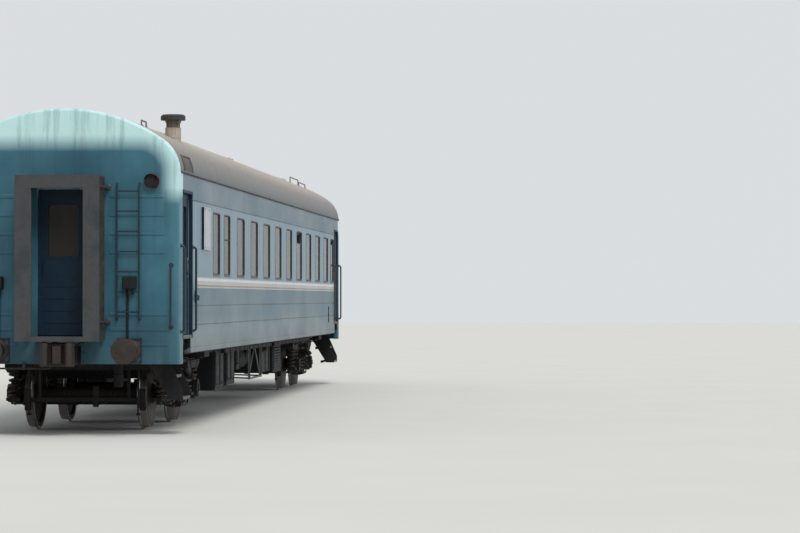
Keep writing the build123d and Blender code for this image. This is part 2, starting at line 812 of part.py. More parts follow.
# Gangways: folded bellows over both sides and the top, a face frame and the bridge plate inside
passage_top = floor_top + end_door_height
bellows_width = gangway_width + 2 * bellows_wall
bellows_top = passage_top + bellows_clearance + bellows_wall
bellows_height = bellows_top - bellows_bottom
bellows_middle = (bellows_top + bellows_bottom) / 2
fold_length = bellows_length / bellows_folds
fold_taper = math.degrees(math.atan(bellows_fold_depth / (fold_length / 2)))
for end, sign in ends:
    with BuildPart() as bellows:
        for number in range(bellows_folds):
            middle = half_length + (number + 0.5) * fold_length
            with BuildSketch(Plane.YZ.offset(sign * middle)):
                with Locations((0, bellows_middle)):
                    Rectangle(bellows_width + 2 * bellows_fold_depth, bellows_height + 2 * bellows_fold_depth)
            extrude(amount=fold_length / 2, both=True, taper=fold_taper)
        with BuildSketch(Plane.YZ.offset(sign * half_length)):
            with Locations((0, (passage_top + bellows_clearance) / 2)):
                Rectangle(gangway_width, passage_top + bellows_clearance)
            with Locations((0, bellows_bottom / 2)):
                Rectangle(2 * half_width, bellows_bottom)
        extrude(amount=sign * bellows_length, mode=Mode.SUBTRACT)
    bellows.part.label = f"gangway_bellows_{end}"
    export_step(bellows.part, f"parts/gangway_bellows_{end}.step")

    face_height = bellows_top + faceplate_margin - bellows_bottom
    with BuildPart() as gangway_frame:
        with BuildSketch(Plane.YZ.offset(sign * (half_length + bellows_length))):
            with Locations((0, bellows_bottom + face_height / 2)):
                Rectangle(bellows_width + 2 * faceplate_margin, face_height)
            with Locations((0, floor_top + end_door_height / 2)):
                Rectangle(passage_width, end_door_height, mode=Mode.SUBTRACT)
        extrude(amount=sign * faceplate_thickness)
        with BuildSketch(Plane.YZ.offset(sign * half_length)):
            with Locations((0, floor_top - bridge_thickness / 2)):
                Rectangle(passage_width, bridge_thickness)
        extrude(amount=sign * bellows_length)
    gangway_frame.part.label = f"gangway_frame_{end}"
    export_step(gangway_frame.part, f"parts/gangway_frame_{end}.step")

# Buffers on both sides of the gangways
with BuildPart() as buffers:
    for end, sign in ends:
        for side, y_sign in sides:
            axis = Axis((0, y_sign * buffer_spacing / 2, buffer_height), (1, 0, 0))
            place = Plane(
                origin=(sign * half_length, y_sign * buffer_spacing / 2, buffer_height),
                x_dir=(sign, 0, 0),
                z_dir=(0, -sign, 0),
            )
            with BuildSketch(place):
                with BuildLine():
                    Polyline(
                        (0, 0),
                        (0, 150),
                        (30, 150),
                        (45, buffer_sleeve_radius),
                        (buffer_sleeve_length, buffer_sleeve_radius - 10),
                        (buffer_sleeve_length, buffer_rod_radius),
                        (buffer_reach - 40, buffer_rod_radius),
                        (buffer_reach - 30, buffer_head_radius),
                        (buffer_reach - 12, buffer_head_radius),
                        (buffer_reach - 4, buffer_head_radius / 2),
                        (buffer_reach, 0),
                        close=True,
                    )
                make_face()
            revolve(axis=axis)
buffers.part.label = "buffers"
export_step(buffers.part, "parts/buffers.step")

# Claw couplers: the head from above has a large and a small tooth with the throat between them, both rounded
# and bevelled; the lock stands out of the throat, and behind the collar the shank goes into the draft boxes
head_height = 310
head_corner = 18
head_bevel = 14
tooth_reach = 105
throat_depth = 75
lock_width = 110
lock_reach = 92
lock_height = 230
collar_place = 350
collar_length = 40
collar_width = 240
collar_height = 230
shank_width = 130
shank_height = 175
shank_end_length = 260
shank_end_place = 740
shank_end_gap = 60
# Outline of the head in the coupler's own plan, X from the coupling plane, in order round the head
head_outline = [
    (-collar_place, -65),
    (-collar_place, 65),
    (-240, 118),
    (-150, 215),
    (10, 235),
    (90, 205),
    (tooth_reach, 150),
    (60, 118),
    (-52, 94),
    (-throat_depth, 60),
    (-throat_depth, -70),
    (-42, -106),
    (48, -122),
    (64, -170),
    (30, -222),
    (-80, -235),
    (-200, -185),
    (-280, -90),
]
for end, sign in ends:
    head_plan = Plane(
        origin=(sign * coupler_plane, 0, coupler_height - head_height / 2), x_dir=(sign, 0, 0), z_dir=(0, 0, 1)
    )
    with BuildPart() as coupler:
        with BuildSketch(head_plan) as head:
            with BuildLine():
                Polyline(*head_outline, close=True)
            make_face()
            fillet(head.vertices(), radius=head_corner)
        extrude(amount=head_height)
        bevelled = coupler.faces().sort_by(Axis.Z)[-1].edges() + coupler.faces().sort_by(Axis.Z)[0].edges()
        chamfer(bevelled, length=head_bevel)
        with BuildSketch(head_plan.offset((head_height - lock_height) / 2)):
            with Locations((lock_reach / 2 - throat_depth - 20, -5)):
                Rectangle(lock_reach, lock_width)
        extrude(amount=lock_height)
        with BuildSketch(head_plan.offset((head_height - collar_height) / 2)):
            with Locations((-collar_place - collar_length / 2, 0)):
                Rectangle(collar_length, collar_width)
        extrude(amount=collar_height)
        with BuildSketch(head_plan.offset((head_height - shank_height) / 2)):
            shank_length = shank_end_place + shank_end_length / 2 - collar_place
            with Locations((-collar_place - shank_length / 2, 0)):
                Rectangle(shank_length, shank_width)
            with Locations((-shank_end_place, 0)):
                Rectangle(shank_end_length, centre_sill_width - 2 * draft_box_wall - 2 * shank_end_gap)
        extrude(amount=shank_height)
    coupler.part.label = f"coupler_{end}"
    export_step(coupler.part, f"parts/coupler_{end}.step")

# Handrails on both sides of each side door
rail_radius = 16
rail_standoff = 50
rail_bend = 40
handrail_bottom = rail_top + 1360
handrail_length = 1140
inner_rail_gap = 45
outer_rail_gap = 200
with BuildPart() as handrails:
    for end, x_sign, side, y_sign in corners:
        for place in (door_inner_jamb - inner_rail_gap, door_outer_jamb + outer_rail_gap):
            wall_y = y_sign * half_width
            out_y = y_sign * (half_width + rail_standoff)
            with BuildLine():
                rail_path = FilletPolyline(
                    (x_sign * place, wall_y, handrail_bottom),
                    (x_sign * place, out_y, handrail_bottom),
                    (x_sign * place, out_y, handrail_bottom + handrail_length),
                    (x_sign * place, wall_y, handrail_bottom + handrail_length),
                    radius=rail_bend,
                )
            with BuildSketch(Plane(origin=rail_path @ 0, z_dir=rail_path % 0)):
                Circle(rail_radius)
            sweep(path=rail_path)
handrails.part.label = "handrails"
export_step(handrails.part, "parts/handrails.step")

# Chimney of the heating boiler on the right shoulder: a wide base, a narrower neck and a flat cap
stack_x = 2300 - half_length
stack_inset = 432.5
stack_y = stack_inset - half_width
stack_foot = roof_height(stack_y - 100) - 60
# Columns: radius, height over the roof at the chimney's axis
stack_profile = [(110, 150), (97, 160), (97, 256), (174, 262), (174, 318), (150, 340), (0, 340)]
with BuildPart() as roof_stack:
    with BuildSketch(Plane(origin=(stack_x, stack_y, 0), x_dir=(1, 0, 0), z_dir=(0, -1, 0))):
        with BuildLine():
            stack_base = roof_height(stack_y)
            stack_points = [(radius, stack_base + rise) for radius, rise in stack_profile]
            Polyline((0, stack_foot), (stack_profile[0][0], stack_foot), *stack_points, close=True)
        make_face()
    revolve(axis=Axis((stack_x, stack_y, 0), (0, 0, 1)))
    with BuildSketch(Plane.YZ.offset(-inner_end)):
        with BuildLine():
            roof_outline(0)
            Line((half_width, eaves), (-half_width, eaves))
        make_face()
    extrude(amount=2 * inner_end, mode=Mode.SUBTRACT)
roof_stack.part.label = "roof_stack"
export_step(roof_stack.part, "parts/roof_stack.step")

# Roof vents along the crown, low mushrooms on a tapered foot
vent_places = [place - half_length for place in (5300, 9600, 14000, 18300, 21000)]
# Columns: radius, height over the crown
vent_profile = [(150, 0), (135, 40), (205, 52), (205, 72), (110, 100), (0, 104)]
with BuildPart() as roof_vents:
    for place in vent_places:
        with BuildSketch(Plane(origin=(place, 0, roof_height(0)), x_dir=(1, 0, 0), z_dir=(0, -1, 0))):
            with BuildLine():
                Polyline((0, 0), *vent_profile, close=True)
            make_face()
        revolve(axis=Axis((place, 0, 0), (0, 0, 1)))
roof_vents.part.label = "roof_vents"
export_step(roof_vents.part, "parts/roof_vents.step")

# Air intakes low on the roof's shoulders at the front end: a curved panel with slats
intake_length = 750
intake_to = half_length - 430
intake_from = intake_to - intake_length
intake_start = 4
intake_sweep = 20
intake_slats = 6
with BuildPart() as air_intakes:
    arc_centre = half_width - shoulder_radius
    for side, sign in sides:
        with BuildSketch(Plane.YZ.offset(-intake_to)):
            for number in range(intake_slats):
                step = intake_sweep / intake_slats
                low = intake_start + number * step
                angles = [math.radians(low), math.radians(low + step * 0.8)]
                reaches = [(0, 6), (0, 14)]
                corner_points = []
                for angle, (near, far) in zip(angles, reaches):
                    for reach in (near, far):
                        corner_points.append(
                            (
                                sign * (arc_centre + (shoulder_radius + reach) * math.cos(angle)),
                                eaves + (shoulder_radius + reach) * math.sin(angle),
                            )
                        )
                first, second, third, fourth = corner_points
                with BuildLine():
                    Polyline(first, second, fourth, third, close=True)
                make_face()
        extrude(amount=intake_length)
    with BuildSketch(Plane.YZ.offset(-inner_end)):
        with BuildLine():
            roof_outline(0)
            Line((half_width, eaves), (-half_width, eaves))
        make_face()
    extrude(amount=2 * inner_end, mode=Mode.SUBTRACT)
air_intakes.part.label = "air_intakes"
export_step(air_intakes.part, "parts/air_intakes.step")

# Tail lamps: two high and one low on each end wall, each a flange, a body and a wider rim
lamp_offset = 1180
high_lamp = eaves - 120
low_lamp = rail_top + 1560
lamp_places = [(-lamp_offset, high_lamp), (lamp_offset, high_lamp), (lamp_offset, low_lamp)]
# Columns: radius, end of the step away from the wall
lamp_steps = [(102, 14), (74, 52), (86, 66)]
with BuildPart() as tail_lamps:
    for end, sign in ends:
        from_wall = 0
        for radius, to_wall in lamp_steps:
            with BuildSketch(Plane.YZ.offset(sign * (half_length + from_wall))):
                for y, z in lamp_places:
                    with Locations((y, z)):
                        Circle(radius)
            extrude(amount=sign * (to_wall - from_wall))
            from_wall = to_wall
tail_lamps.part.label = "tail_lamps"
export_step(tail_lamps.part, "parts/tail_lamps.step")

# Destination board, a blank plate on the right side by the boiler room
board_thickness = 30
board_width = 660
board_rise = 560
board_x = 2470 - half_length
board_height = rail_top + 2780
with BuildPart() as destination_board:
    with BuildSketch(Plane.XZ.offset(half_width)):
        with Locations((board_x, board_height)):
            Rectangle(board_width, board_rise)
    extrude(amount=board_thickness)
destination_board.part.label = "destination_board"
export_step(destination_board.part, "parts/destination_board.step")

# Underfloor boxes hang from the deck beside a cross member, counted from the middle one.
# Columns: node, side sign, cross member, start and end from it, inner and outer Y, bottom above the rail
box_table = [
    ("battery_boxes", -1, -3, -449, 621, 480, 1200, 390),
    ("battery_boxes", -1, -2, -836, 174, 480, 1200, 430),
    ("battery_boxes", 1, -3, -449, 621, 480, 1200, 390),
    ("battery_boxes", 1, -2, -836, 174, 480, 1200, 430),
    ("equipment_boxes", -1, 2, -1234, 6, 480, 1200, 460),
    ("equipment_boxes", 1, 2, -1234, 6, 480, 1200, 460),
    ("equipment_boxes", -1, 1, -1057, 443, 600, 1150, 500),
    ("equipment_boxes", -1, -1, -943, -493, 600, 1150, 640),
    ("equipment_boxes", 1, -1, -943, 457, 600, 1150, 560),
]
box_corner = 30
hanger_inset = 90
hanger_thickness = 30
for node in ("battery_boxes", "equipment_boxes"):
    with BuildPart() as boxes:
        for owner, sign, member, start, finish, y_low, y_high, bottom in box_table:
            x_low = member * window_pitch + start
            x_high = member * window_pitch + finish
            if owner == node:
                with BuildSketch(Plane.XY.offset(rail_top + bottom)):
                    with Locations(((x_low + x_high) / 2, sign * (y_low + y_high) / 2)):
                        RectangleRounded(x_high - x_low, y_high - y_low, box_corner)
                extrude(amount=frame_bottom - rail_top - bottom)
                with BuildSketch(Plane.XY.offset(frame_bottom)):
                    for hanger_x in (x_low + hanger_inset, x_high - hanger_inset):
                        with Locations((hanger_x, sign * (y_low + y_high) / 2)):
                            Rectangle(hanger_thickness, y_high - y_low - 2 * box_corner)
                extrude(amount=deck_bottom - frame_bottom)
    boxes.part.label = node
    export_step(boxes.part, f"parts/{node}.step")

# Air reservoirs, one a side near the middle, each held by two straps
reservoir_radius = 200
reservoir_length = 1500
reservoir_start = -1200
reservoir_offset = 800
reservoir_drop = 60
strap_places = (-950, -150)
strap_width = 60
strap_thickness = 10
with BuildPart() as air_reservoirs:
    for side, sign in sides:
        centre_z = frame_bottom - reservoir_radius - reservoir_drop
        with BuildSketch(Plane.YZ.offset(reservoir_start)):
            with Locations((sign * reservoir_offset, centre_z)):
                Circle(reservoir_radius)
        extrude(amount=reservoir_length)
        for strap_x in strap_places:
            with BuildSketch(Plane.XY.offset(centre_z)):
                with Locations((strap_x, sign * reservoir_offset)):
                    Rectangle(strap_width, 2 * (reservoir_radius + strap_thickness))
            extrude(amount=deck_bottom - centre_z)
air_reservoirs.part.label = "air_reservoirs"
export_step(air_reservoirs.part, "parts/air_reservoirs.step")

# Brake cylinder between the bogies with its push rod, and the generator, each on a hanger block
gear_start = 3 * window_pitch - 971
brake_cylinder_offset = 420
brake_cylinder_radius = 178
brake_cylinder_length = 520
brake_cylinder_drop = 230
push_rod_radius = 24
push_rod_length = 1500
generator_offset = 480
generator_radius = 240
generator_length = 800
generator_drop = 300
block_width = 300
with BuildPart() as brake_cylinder:
    # Columns: Y, centre below the frame, radius, length, length of the hanger block
    for gear_y, drop, radius, length, block_length in [
        (-brake_cylinder_offset, brake_cylinder_drop, brake_cylinder_radius, brake_cylinder_length, 300),
        (generator_offset, generator_drop, generator_radius, generator_length, 500),
    ]:
        with BuildSketch(Plane.YZ.offset(gear_start)):
            with Locations((gear_y, frame_bottom - drop)):
                Circle(radius)
        extrude(amount=length)
        with BuildSketch(Plane.XY.offset(frame_bottom - drop)):
            with Locations((gear_start + length / 2, gear_y)):
                Rectangle(block_length, block_width)
        extrude(amount=deck_bottom - frame_bottom + drop)
    with BuildSketch(Plane.YZ.offset(gear_start + brake_cylinder_length)):
        with Locations((-brake_cylinder_offset, frame_bottom - brake_cylinder_drop)):
            Circle(push_rod_radius)
    extrude(amount=push_rod_length)
brake_cylinder.part.label = "brake_cylinder"
export_step(brake_cylinder.part, "parts/brake_cylinder.step")

# Bogies: frame with its dampers, bolster, axle boxes, springs, brake gear
for end, end_sign in ends:
    centre = end_sign * bogie_offset
    axles = [centre - wheel_base / 2, centre + wheel_base / 2]

    with BuildPart() as bogie_frame:
        for side, sign in sides:
            half = side_beam_length / 2
            beam_inner = sign * (side_beam_offset - side_beam_width / 2)
            with BuildSketch(Plane(origin=(centre, beam_inner, 0), x_dir=(1, 0, 0), z_dir=(0, -1, 0))):
                with BuildLine():
                    Polyline(
                        (-half, side_beam_top - 90),
                        (-half, side_beam_top - 20),
                        (-half + 60, side_beam_top),
                        (half - 60, side_beam_top),
                        (half, side_beam_top - 20),
                        (half, side_beam_top - 90),
                        (half - 180, side_beam_bottom),
                        (-half + 180, side_beam_bottom),
                        close=True,
                    )
                make_face()
            extrude(amount=-sign * side_beam_width)
        cross_side = side_beam_offset - side_beam_width / 2
        with BuildSketch(Plane.XY.offset(side_beam_bottom - transom_drop)):
            for sign in (-1, 1):
                with Locations((centre + sign * transom_offset, 0)):
                    Rectangle(transom_width, 2 * cross_side)
        extrude(amount=transom_drop + 50)
        with BuildSketch(Plane.XY.offset(side_beam_top - 110)):
            for sign in (-1, 1):
                with Locations((centre + sign * (side_beam_length / 2 - end_beam_width / 2), 0)):
                    Rectangle(end_beam_width, 2 * cross_side)
        extrude(amount=90)
        with BuildSketch(Plane.XY.offset(side_beam_bottom - transom_drop)):
            for side, sign in sides:
                for direction in (-1, 1):
                    bracket_x = centre + direction * (transom_offset + transom_width / 2 + bracket_length / 2)
                    with Locations((bracket_x, sign * brake_hanger_offset)):
                        Rectangle(bracket_length, 40)
        extrude(amount=50)
        for side, sign in sides:
            # A slanting damper a side, from a bracket on the frame to the end of the bolster
            (top_x, top_z), (foot_x, foot_z) = damper_top, damper_foot
            bracket_y = (side_beam_offset + side_beam_width / 2 + damper_offset + damper_radius) / 2
            bracket_reach = damper_offset + damper_radius - side_beam_offset - side_beam_width / 2
            with BuildSketch(Plane.XY.offset(top_z - damper_bracket_height / 2)):
                with Locations((centre + sign * top_x, sign * bracket_y)):
                    Rectangle(damper_bracket_length, bracket_reach)
            extrude(amount=damper_bracket_height)
            damper_length = math.hypot(top_x - foot_x, top_z - foot_z)
            slope = Plane(
                origin=(centre + sign * top_x, sign * damper_offset, top_z),
                x_dir=(0, 1, 0),
                z_dir=(sign * (foot_x - top_x), 0, foot_z - top_z),
            )
            with BuildSketch(slope):
                Circle(damper_radius)
            extrude(amount=damper_length * damper_body_share)
            with BuildSketch(slope.offset(damper_length * damper_body_share)):
                Circle(damper_rod_radius)
            extrude(amount=damper_length * (1 - damper_body_share))
            with BuildSketch(Plane.XZ.offset(-sign * (bolster_end + seat_play))):
                with Locations((centre + sign * foot_x, foot_z)):
                    Circle(damper_eye_radius)
            extrude(amount=-sign * 2 * (damper_offset - bolster_end - seat_play))
    bogie_frame.part.label = f"bogie_frame_{end}"
    export_step(bogie_frame.part, f"parts/bogie_frame_{end}.step")

    with BuildPart() as bolster:
        with BuildSketch(Plane.YZ.offset(centre - bolster_half_length)):
            with BuildLine():
                Polyline(
                    (-bolster_end, bolster_end_bottom),
                    (-bolster_end, side_beam_bottom - 15),
                    (-(side_beam_offset - side_beam_width / 2 - 15), side_beam_bottom - 15),
                    (-850, bolster_top),
                    (850, bolster_top),
                    ((side_beam_offset - side_beam_width / 2 - 15), side_beam_bottom - 15),
                    (bolster_end, side_beam_bottom - 15),
                    (bolster_end, bolster_end_bottom),
                    (860, bolster_end_bottom),
                    (700, bolster_end_bottom + 50),
                    (-700, bolster_end_bottom + 50),
                    (-860, bolster_end_bottom),
                    close=True,
                )
            make_face()
        extrude(amount=2 * bolster_half_length)
        spring_seat = central_spring_offset + central_spring_radius + 15
        with BuildSketch(Plane.XY.offset(bolster_end_bottom)):
            for side, sign in sides:
                with Locations((centre, sign * (bolster_end - 150))):
                    Rectangle(2 * spring_seat, 300)
        extrude(amount=50)
        with BuildSketch(Plane.XY.offset(bolster_top)):
            with Locations((centre, 0)):
                Circle(pivot_seat_radius)
            for side, sign in sides:
                with Locations((centre, sign * side_bearer_offset)):
                    Rectangle(side_bearer_length, side_bearer_width)
        extrude(amount=pivot_seat_height - seat_play - bolster_top)
        with BuildSketch(Plane.XY.offset(plank_height)):
            for side, sign in sides:
                with Locations((centre, sign * side_beam_offset)):
                    Rectangle(2 * (hanger_offset + 35), 250)
            with Locations((centre, 0)):
                Rectangle(200, 2 * side_beam_offset)
        extrude(amount=plank_thickness)
        with BuildSketch(Plane.XY.offset(plank_height + plank_thickness)):
            for side, sign in sides:
                for direction in (-1, 1):
                    with Locations((centre + direction * hanger_offset, sign * side_beam_offset)):
                        Circle(hanger_radius)
        extrude(amount=side_beam_bottom - plank_height - plank_thickness)
    bolster.part.label = f"bogie_bolster_{end}"
    export_step(bolster.part, f"parts/bogie_bolster_{end}.step")

    with BuildPart() as axle_boxes:
        for axle_x in axles:
            for side, sign in sides:
                box_plane = Plane(
                    origin=(axle_x, sign * axle_box_inner, axle_height), x_dir=(1, 0, 0), z_dir=(0, sign, 0)
                )
                with BuildSketch(box_plane):
                    Circle(axle_box_radius)
                    with Locations((0, sign * box_wing_drop)):
                        Rectangle(2 * box_wing_reach, box_wing_thickness)
                extrude(amount=axle_box_outer - axle_box_inner)
                with BuildSketch(box_plane.offset(axle_box_outer - axle_box_inner)):
                    Circle(axle_box_cover)
                extrude(amount=axle_box_cover_depth)
                with BuildSketch(box_plane):
                    Circle(journal_radius + journal_play)
                extrude(amount=journal_end + 10 - axle_box_inner, mode=Mode.SUBTRACT)
    axle_boxes.part.label = f"axle_boxes_{end}"
    export_step(axle_boxes.part, f"parts/axle_boxes_{end}.step")

    wing_top = axle_height - box_wing_drop + box_wing_thickness / 2
    plank_top = plank_height + plank_thickness
    # Columns: distance along X from the axle or the bogie's centre, radius, bottom, top
    spring_table = [
        (axle_x - centre + direction * axle_spring_offset, axle_spring_radius, wing_top, side_beam_bottom)
        for axle_x in axles
        for direction in (-1, 1)
    ] + [
        (direction * central_spring_offset, central_spring_radius, plank_top, bolster_end_bottom)
        for direction in (-1, 1)
    ]
    with BuildPart() as springs:
        for spring_x, radius, spring_bottom, spring_top in spring_table:
            coil = (spring_top - spring_bottom) / spring_coils
            ribs = [(0, spring_bottom)]
            for number in range(spring_coils):
                low = spring_bottom + number * coil
                ribs += [
                    (radius - spring_groove, low),
                    (radius, low + 0.3 * coil),
                    (radius, low + 0.7 * coil),
                ]
            ribs += [(radius - spring_groove, spring_top), (0, spring_top)]
            for side, sign in sides:
                place = (centre + spring_x, sign * side_beam_offset, 0)
                with BuildSketch(Plane(origin=place, x_dir=(1, 0, 0), z_dir=(0, -1, 0))):
                    with BuildLine():
                        Polyline(*ribs, close=True)
                    make_face()
                revolve(axis=Axis(place, (0, 0, 1)))
    springs.part.label = f"bogie_springs_{end}"
    export_step(springs.part, f"parts/bogie_springs_{end}.step")

    shoe_radius = wheel_diameter / 2 + shoe_play
    tread_middle = wheel_back_spacing / 2 + wheel_width - shoe_width / 2 - 4
    with BuildPart() as brake_gear:
        for axle_x in axles:
            for direction in (-1, 1):
                mid_angle = -shoe_angle if direction > 0 else 180 + shoe_angle
                for side, sign in sides:
                    shoe_plane = Plane(
                        origin=(axle_x, sign * tread_middle + shoe_width / 2, axle_height),
                        x_dir=(1, 0, 0),
                        z_dir=(0, -1, 0),
                    )
                    start = math.radians(mid_angle - shoe_sweep / 2)
                    finish = math.radians(mid_angle + shoe_sweep / 2)
                    outer = shoe_radius + shoe_thickness
                    with BuildSketch(shoe_plane):
                        with BuildLine():
                            CenterArc((0, 0), shoe_radius, mid_angle - shoe_sweep / 2, shoe_sweep)
                            CenterArc((0, 0), outer, mid_angle - shoe_sweep / 2, shoe_sweep)
                            for angle in (start, finish):
                                Line(
                                    (shoe_radius * math.cos(angle), shoe_radius * math.sin(angle)),
                                    (outer * math.cos(angle), outer * math.sin(angle)),
                                )
                        make_face()
                    extrude(amount=shoe_width)
                beam_x = axle_x + direction * (shoe_radius + shoe_thickness + brake_beam_depth / 2 - 12)
                beam_z = axle_height - brake_beam_drop
                with BuildSketch(Plane.XY.offset(beam_z - brake_beam_height / 2)):
                    with Locations((beam_x, 0)):
                        Rectangle(brake_beam_depth, 2 * (tread_middle + shoe_width / 2))
                extrude(amount=brake_beam_height)
                outward = (axle_x - centre) * direction > 0
                hanger_top = side_beam_top - 110 if outward else side_beam_bottom - transom_drop
                with BuildSketch(Plane.XY.offset(beam_z + brake_beam_height / 2)):
                    for side, sign in sides:
                        with Locations((beam_x, sign * brake_hanger_offset)):
                            Rectangle(brake_hanger_length, brake_hanger_width)
                extrude(amount=hanger_top - beam_z - brake_beam_height / 2)
    brake_gear.part.label = f"brake_gear_{end}"
    export_step(brake_gear.part, f"parts/brake_gear_{end}.step")

    # Wheelsets: the axle and its two wheels turned as one profile
    half_profile = [
        (640, 82.5),
        (690, 97),
        (712, 97),
        (712, 135),
        (775, 140),
        (756, 398),
        (720, 405),
        (720, 492),
        (728, 503),
        (740, 503),
        (752, 484),
        (760, 477),
        (850, 471),
        (850, 408),
        (784, 398),
        (805, 140),
        (885, 135),
        (885, 97),
        (900, 97),
        (905, journal_radius),
        (journal_end, journal_radius),
    ]
    for name, axle_x in zip(("outer", "inner") if end_sign < 0 else ("inner", "outer"), axles):
        with BuildPart() as wheelset:
            with BuildSketch(Plane(origin=(axle_x, 0, axle_height), x_dir=(0, 1, 0), z_dir=(1, 0, 0))):
                with BuildLine():
                    right_half = [(-y, r) for y, r in reversed(half_profile)]
                    Polyline(
                        (-journal_end, 0),
                        *right_half,
                        *half_profile,
                        (journal_end, 0),
                        close=True,
                    )
                make_face()
            revolve(axis=Axis((axle_x, 0, axle_height), (0, 1, 0)))
        wheelset.part.label = f"wheelset_{end}_{name}"
        export_step(wheelset.part, f"parts/wheelset_{end}_{name}.step")
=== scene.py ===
import bpy
import bmesh
import math
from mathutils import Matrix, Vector


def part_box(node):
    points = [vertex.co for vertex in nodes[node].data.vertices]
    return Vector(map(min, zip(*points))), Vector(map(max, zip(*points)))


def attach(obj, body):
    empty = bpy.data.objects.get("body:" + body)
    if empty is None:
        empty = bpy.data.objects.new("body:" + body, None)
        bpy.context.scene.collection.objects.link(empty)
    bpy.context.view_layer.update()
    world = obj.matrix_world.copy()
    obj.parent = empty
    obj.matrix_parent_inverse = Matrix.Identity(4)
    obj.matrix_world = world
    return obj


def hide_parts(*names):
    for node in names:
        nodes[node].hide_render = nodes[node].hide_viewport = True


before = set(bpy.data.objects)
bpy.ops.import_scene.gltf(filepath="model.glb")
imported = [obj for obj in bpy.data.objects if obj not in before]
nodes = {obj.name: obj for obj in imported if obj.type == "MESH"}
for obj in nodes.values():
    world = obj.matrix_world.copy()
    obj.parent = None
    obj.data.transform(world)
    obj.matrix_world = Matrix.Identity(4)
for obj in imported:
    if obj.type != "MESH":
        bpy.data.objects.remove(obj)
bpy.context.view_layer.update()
print("frame loaded,", len(nodes), "nodes")

ends = [("front", -1), ("rear", 1)]
sides = [("right", -1), ("left", 1)]
corners = [(end, xs, side, ys) for end, xs in ends for side, ys in sides]
lengthways, outward, upward, downward = (1, 0, 0), (0, 1, 0), (0, 0, 1), (0, 0, -1)


# colours are written as the sRGB numbers a paint chip would read
def tone(red, green, blue):
    def linear(value):
        value = value / 255
        return value / 12.92 if value <= 0.04045 else ((value + 0.055) / 1.055) ** 2.4
    return (linear(red), linear(green), linear(blue), 1.0)


def newObject(name, data):
    made = bpy.data.objects.new(name, data)
    bpy.context.scene.collection.objects.link(made)
    return made


# a cube stretched between pairs of values, with bevelled edges
def bevelledBox(pairs, bevel, segments):
    mesh = bmesh.new()
    bmesh.ops.create_cube(mesh, size=1.0)
    for vert in mesh.verts:
        vert.co = Vector([pair[c > 0] for pair, c in zip(pairs, vert.co)])
    bmesh.ops.bevel(mesh, geom=mesh.edges[:], offset=bevel, segments=segments, affect="EDGES")
    return mesh


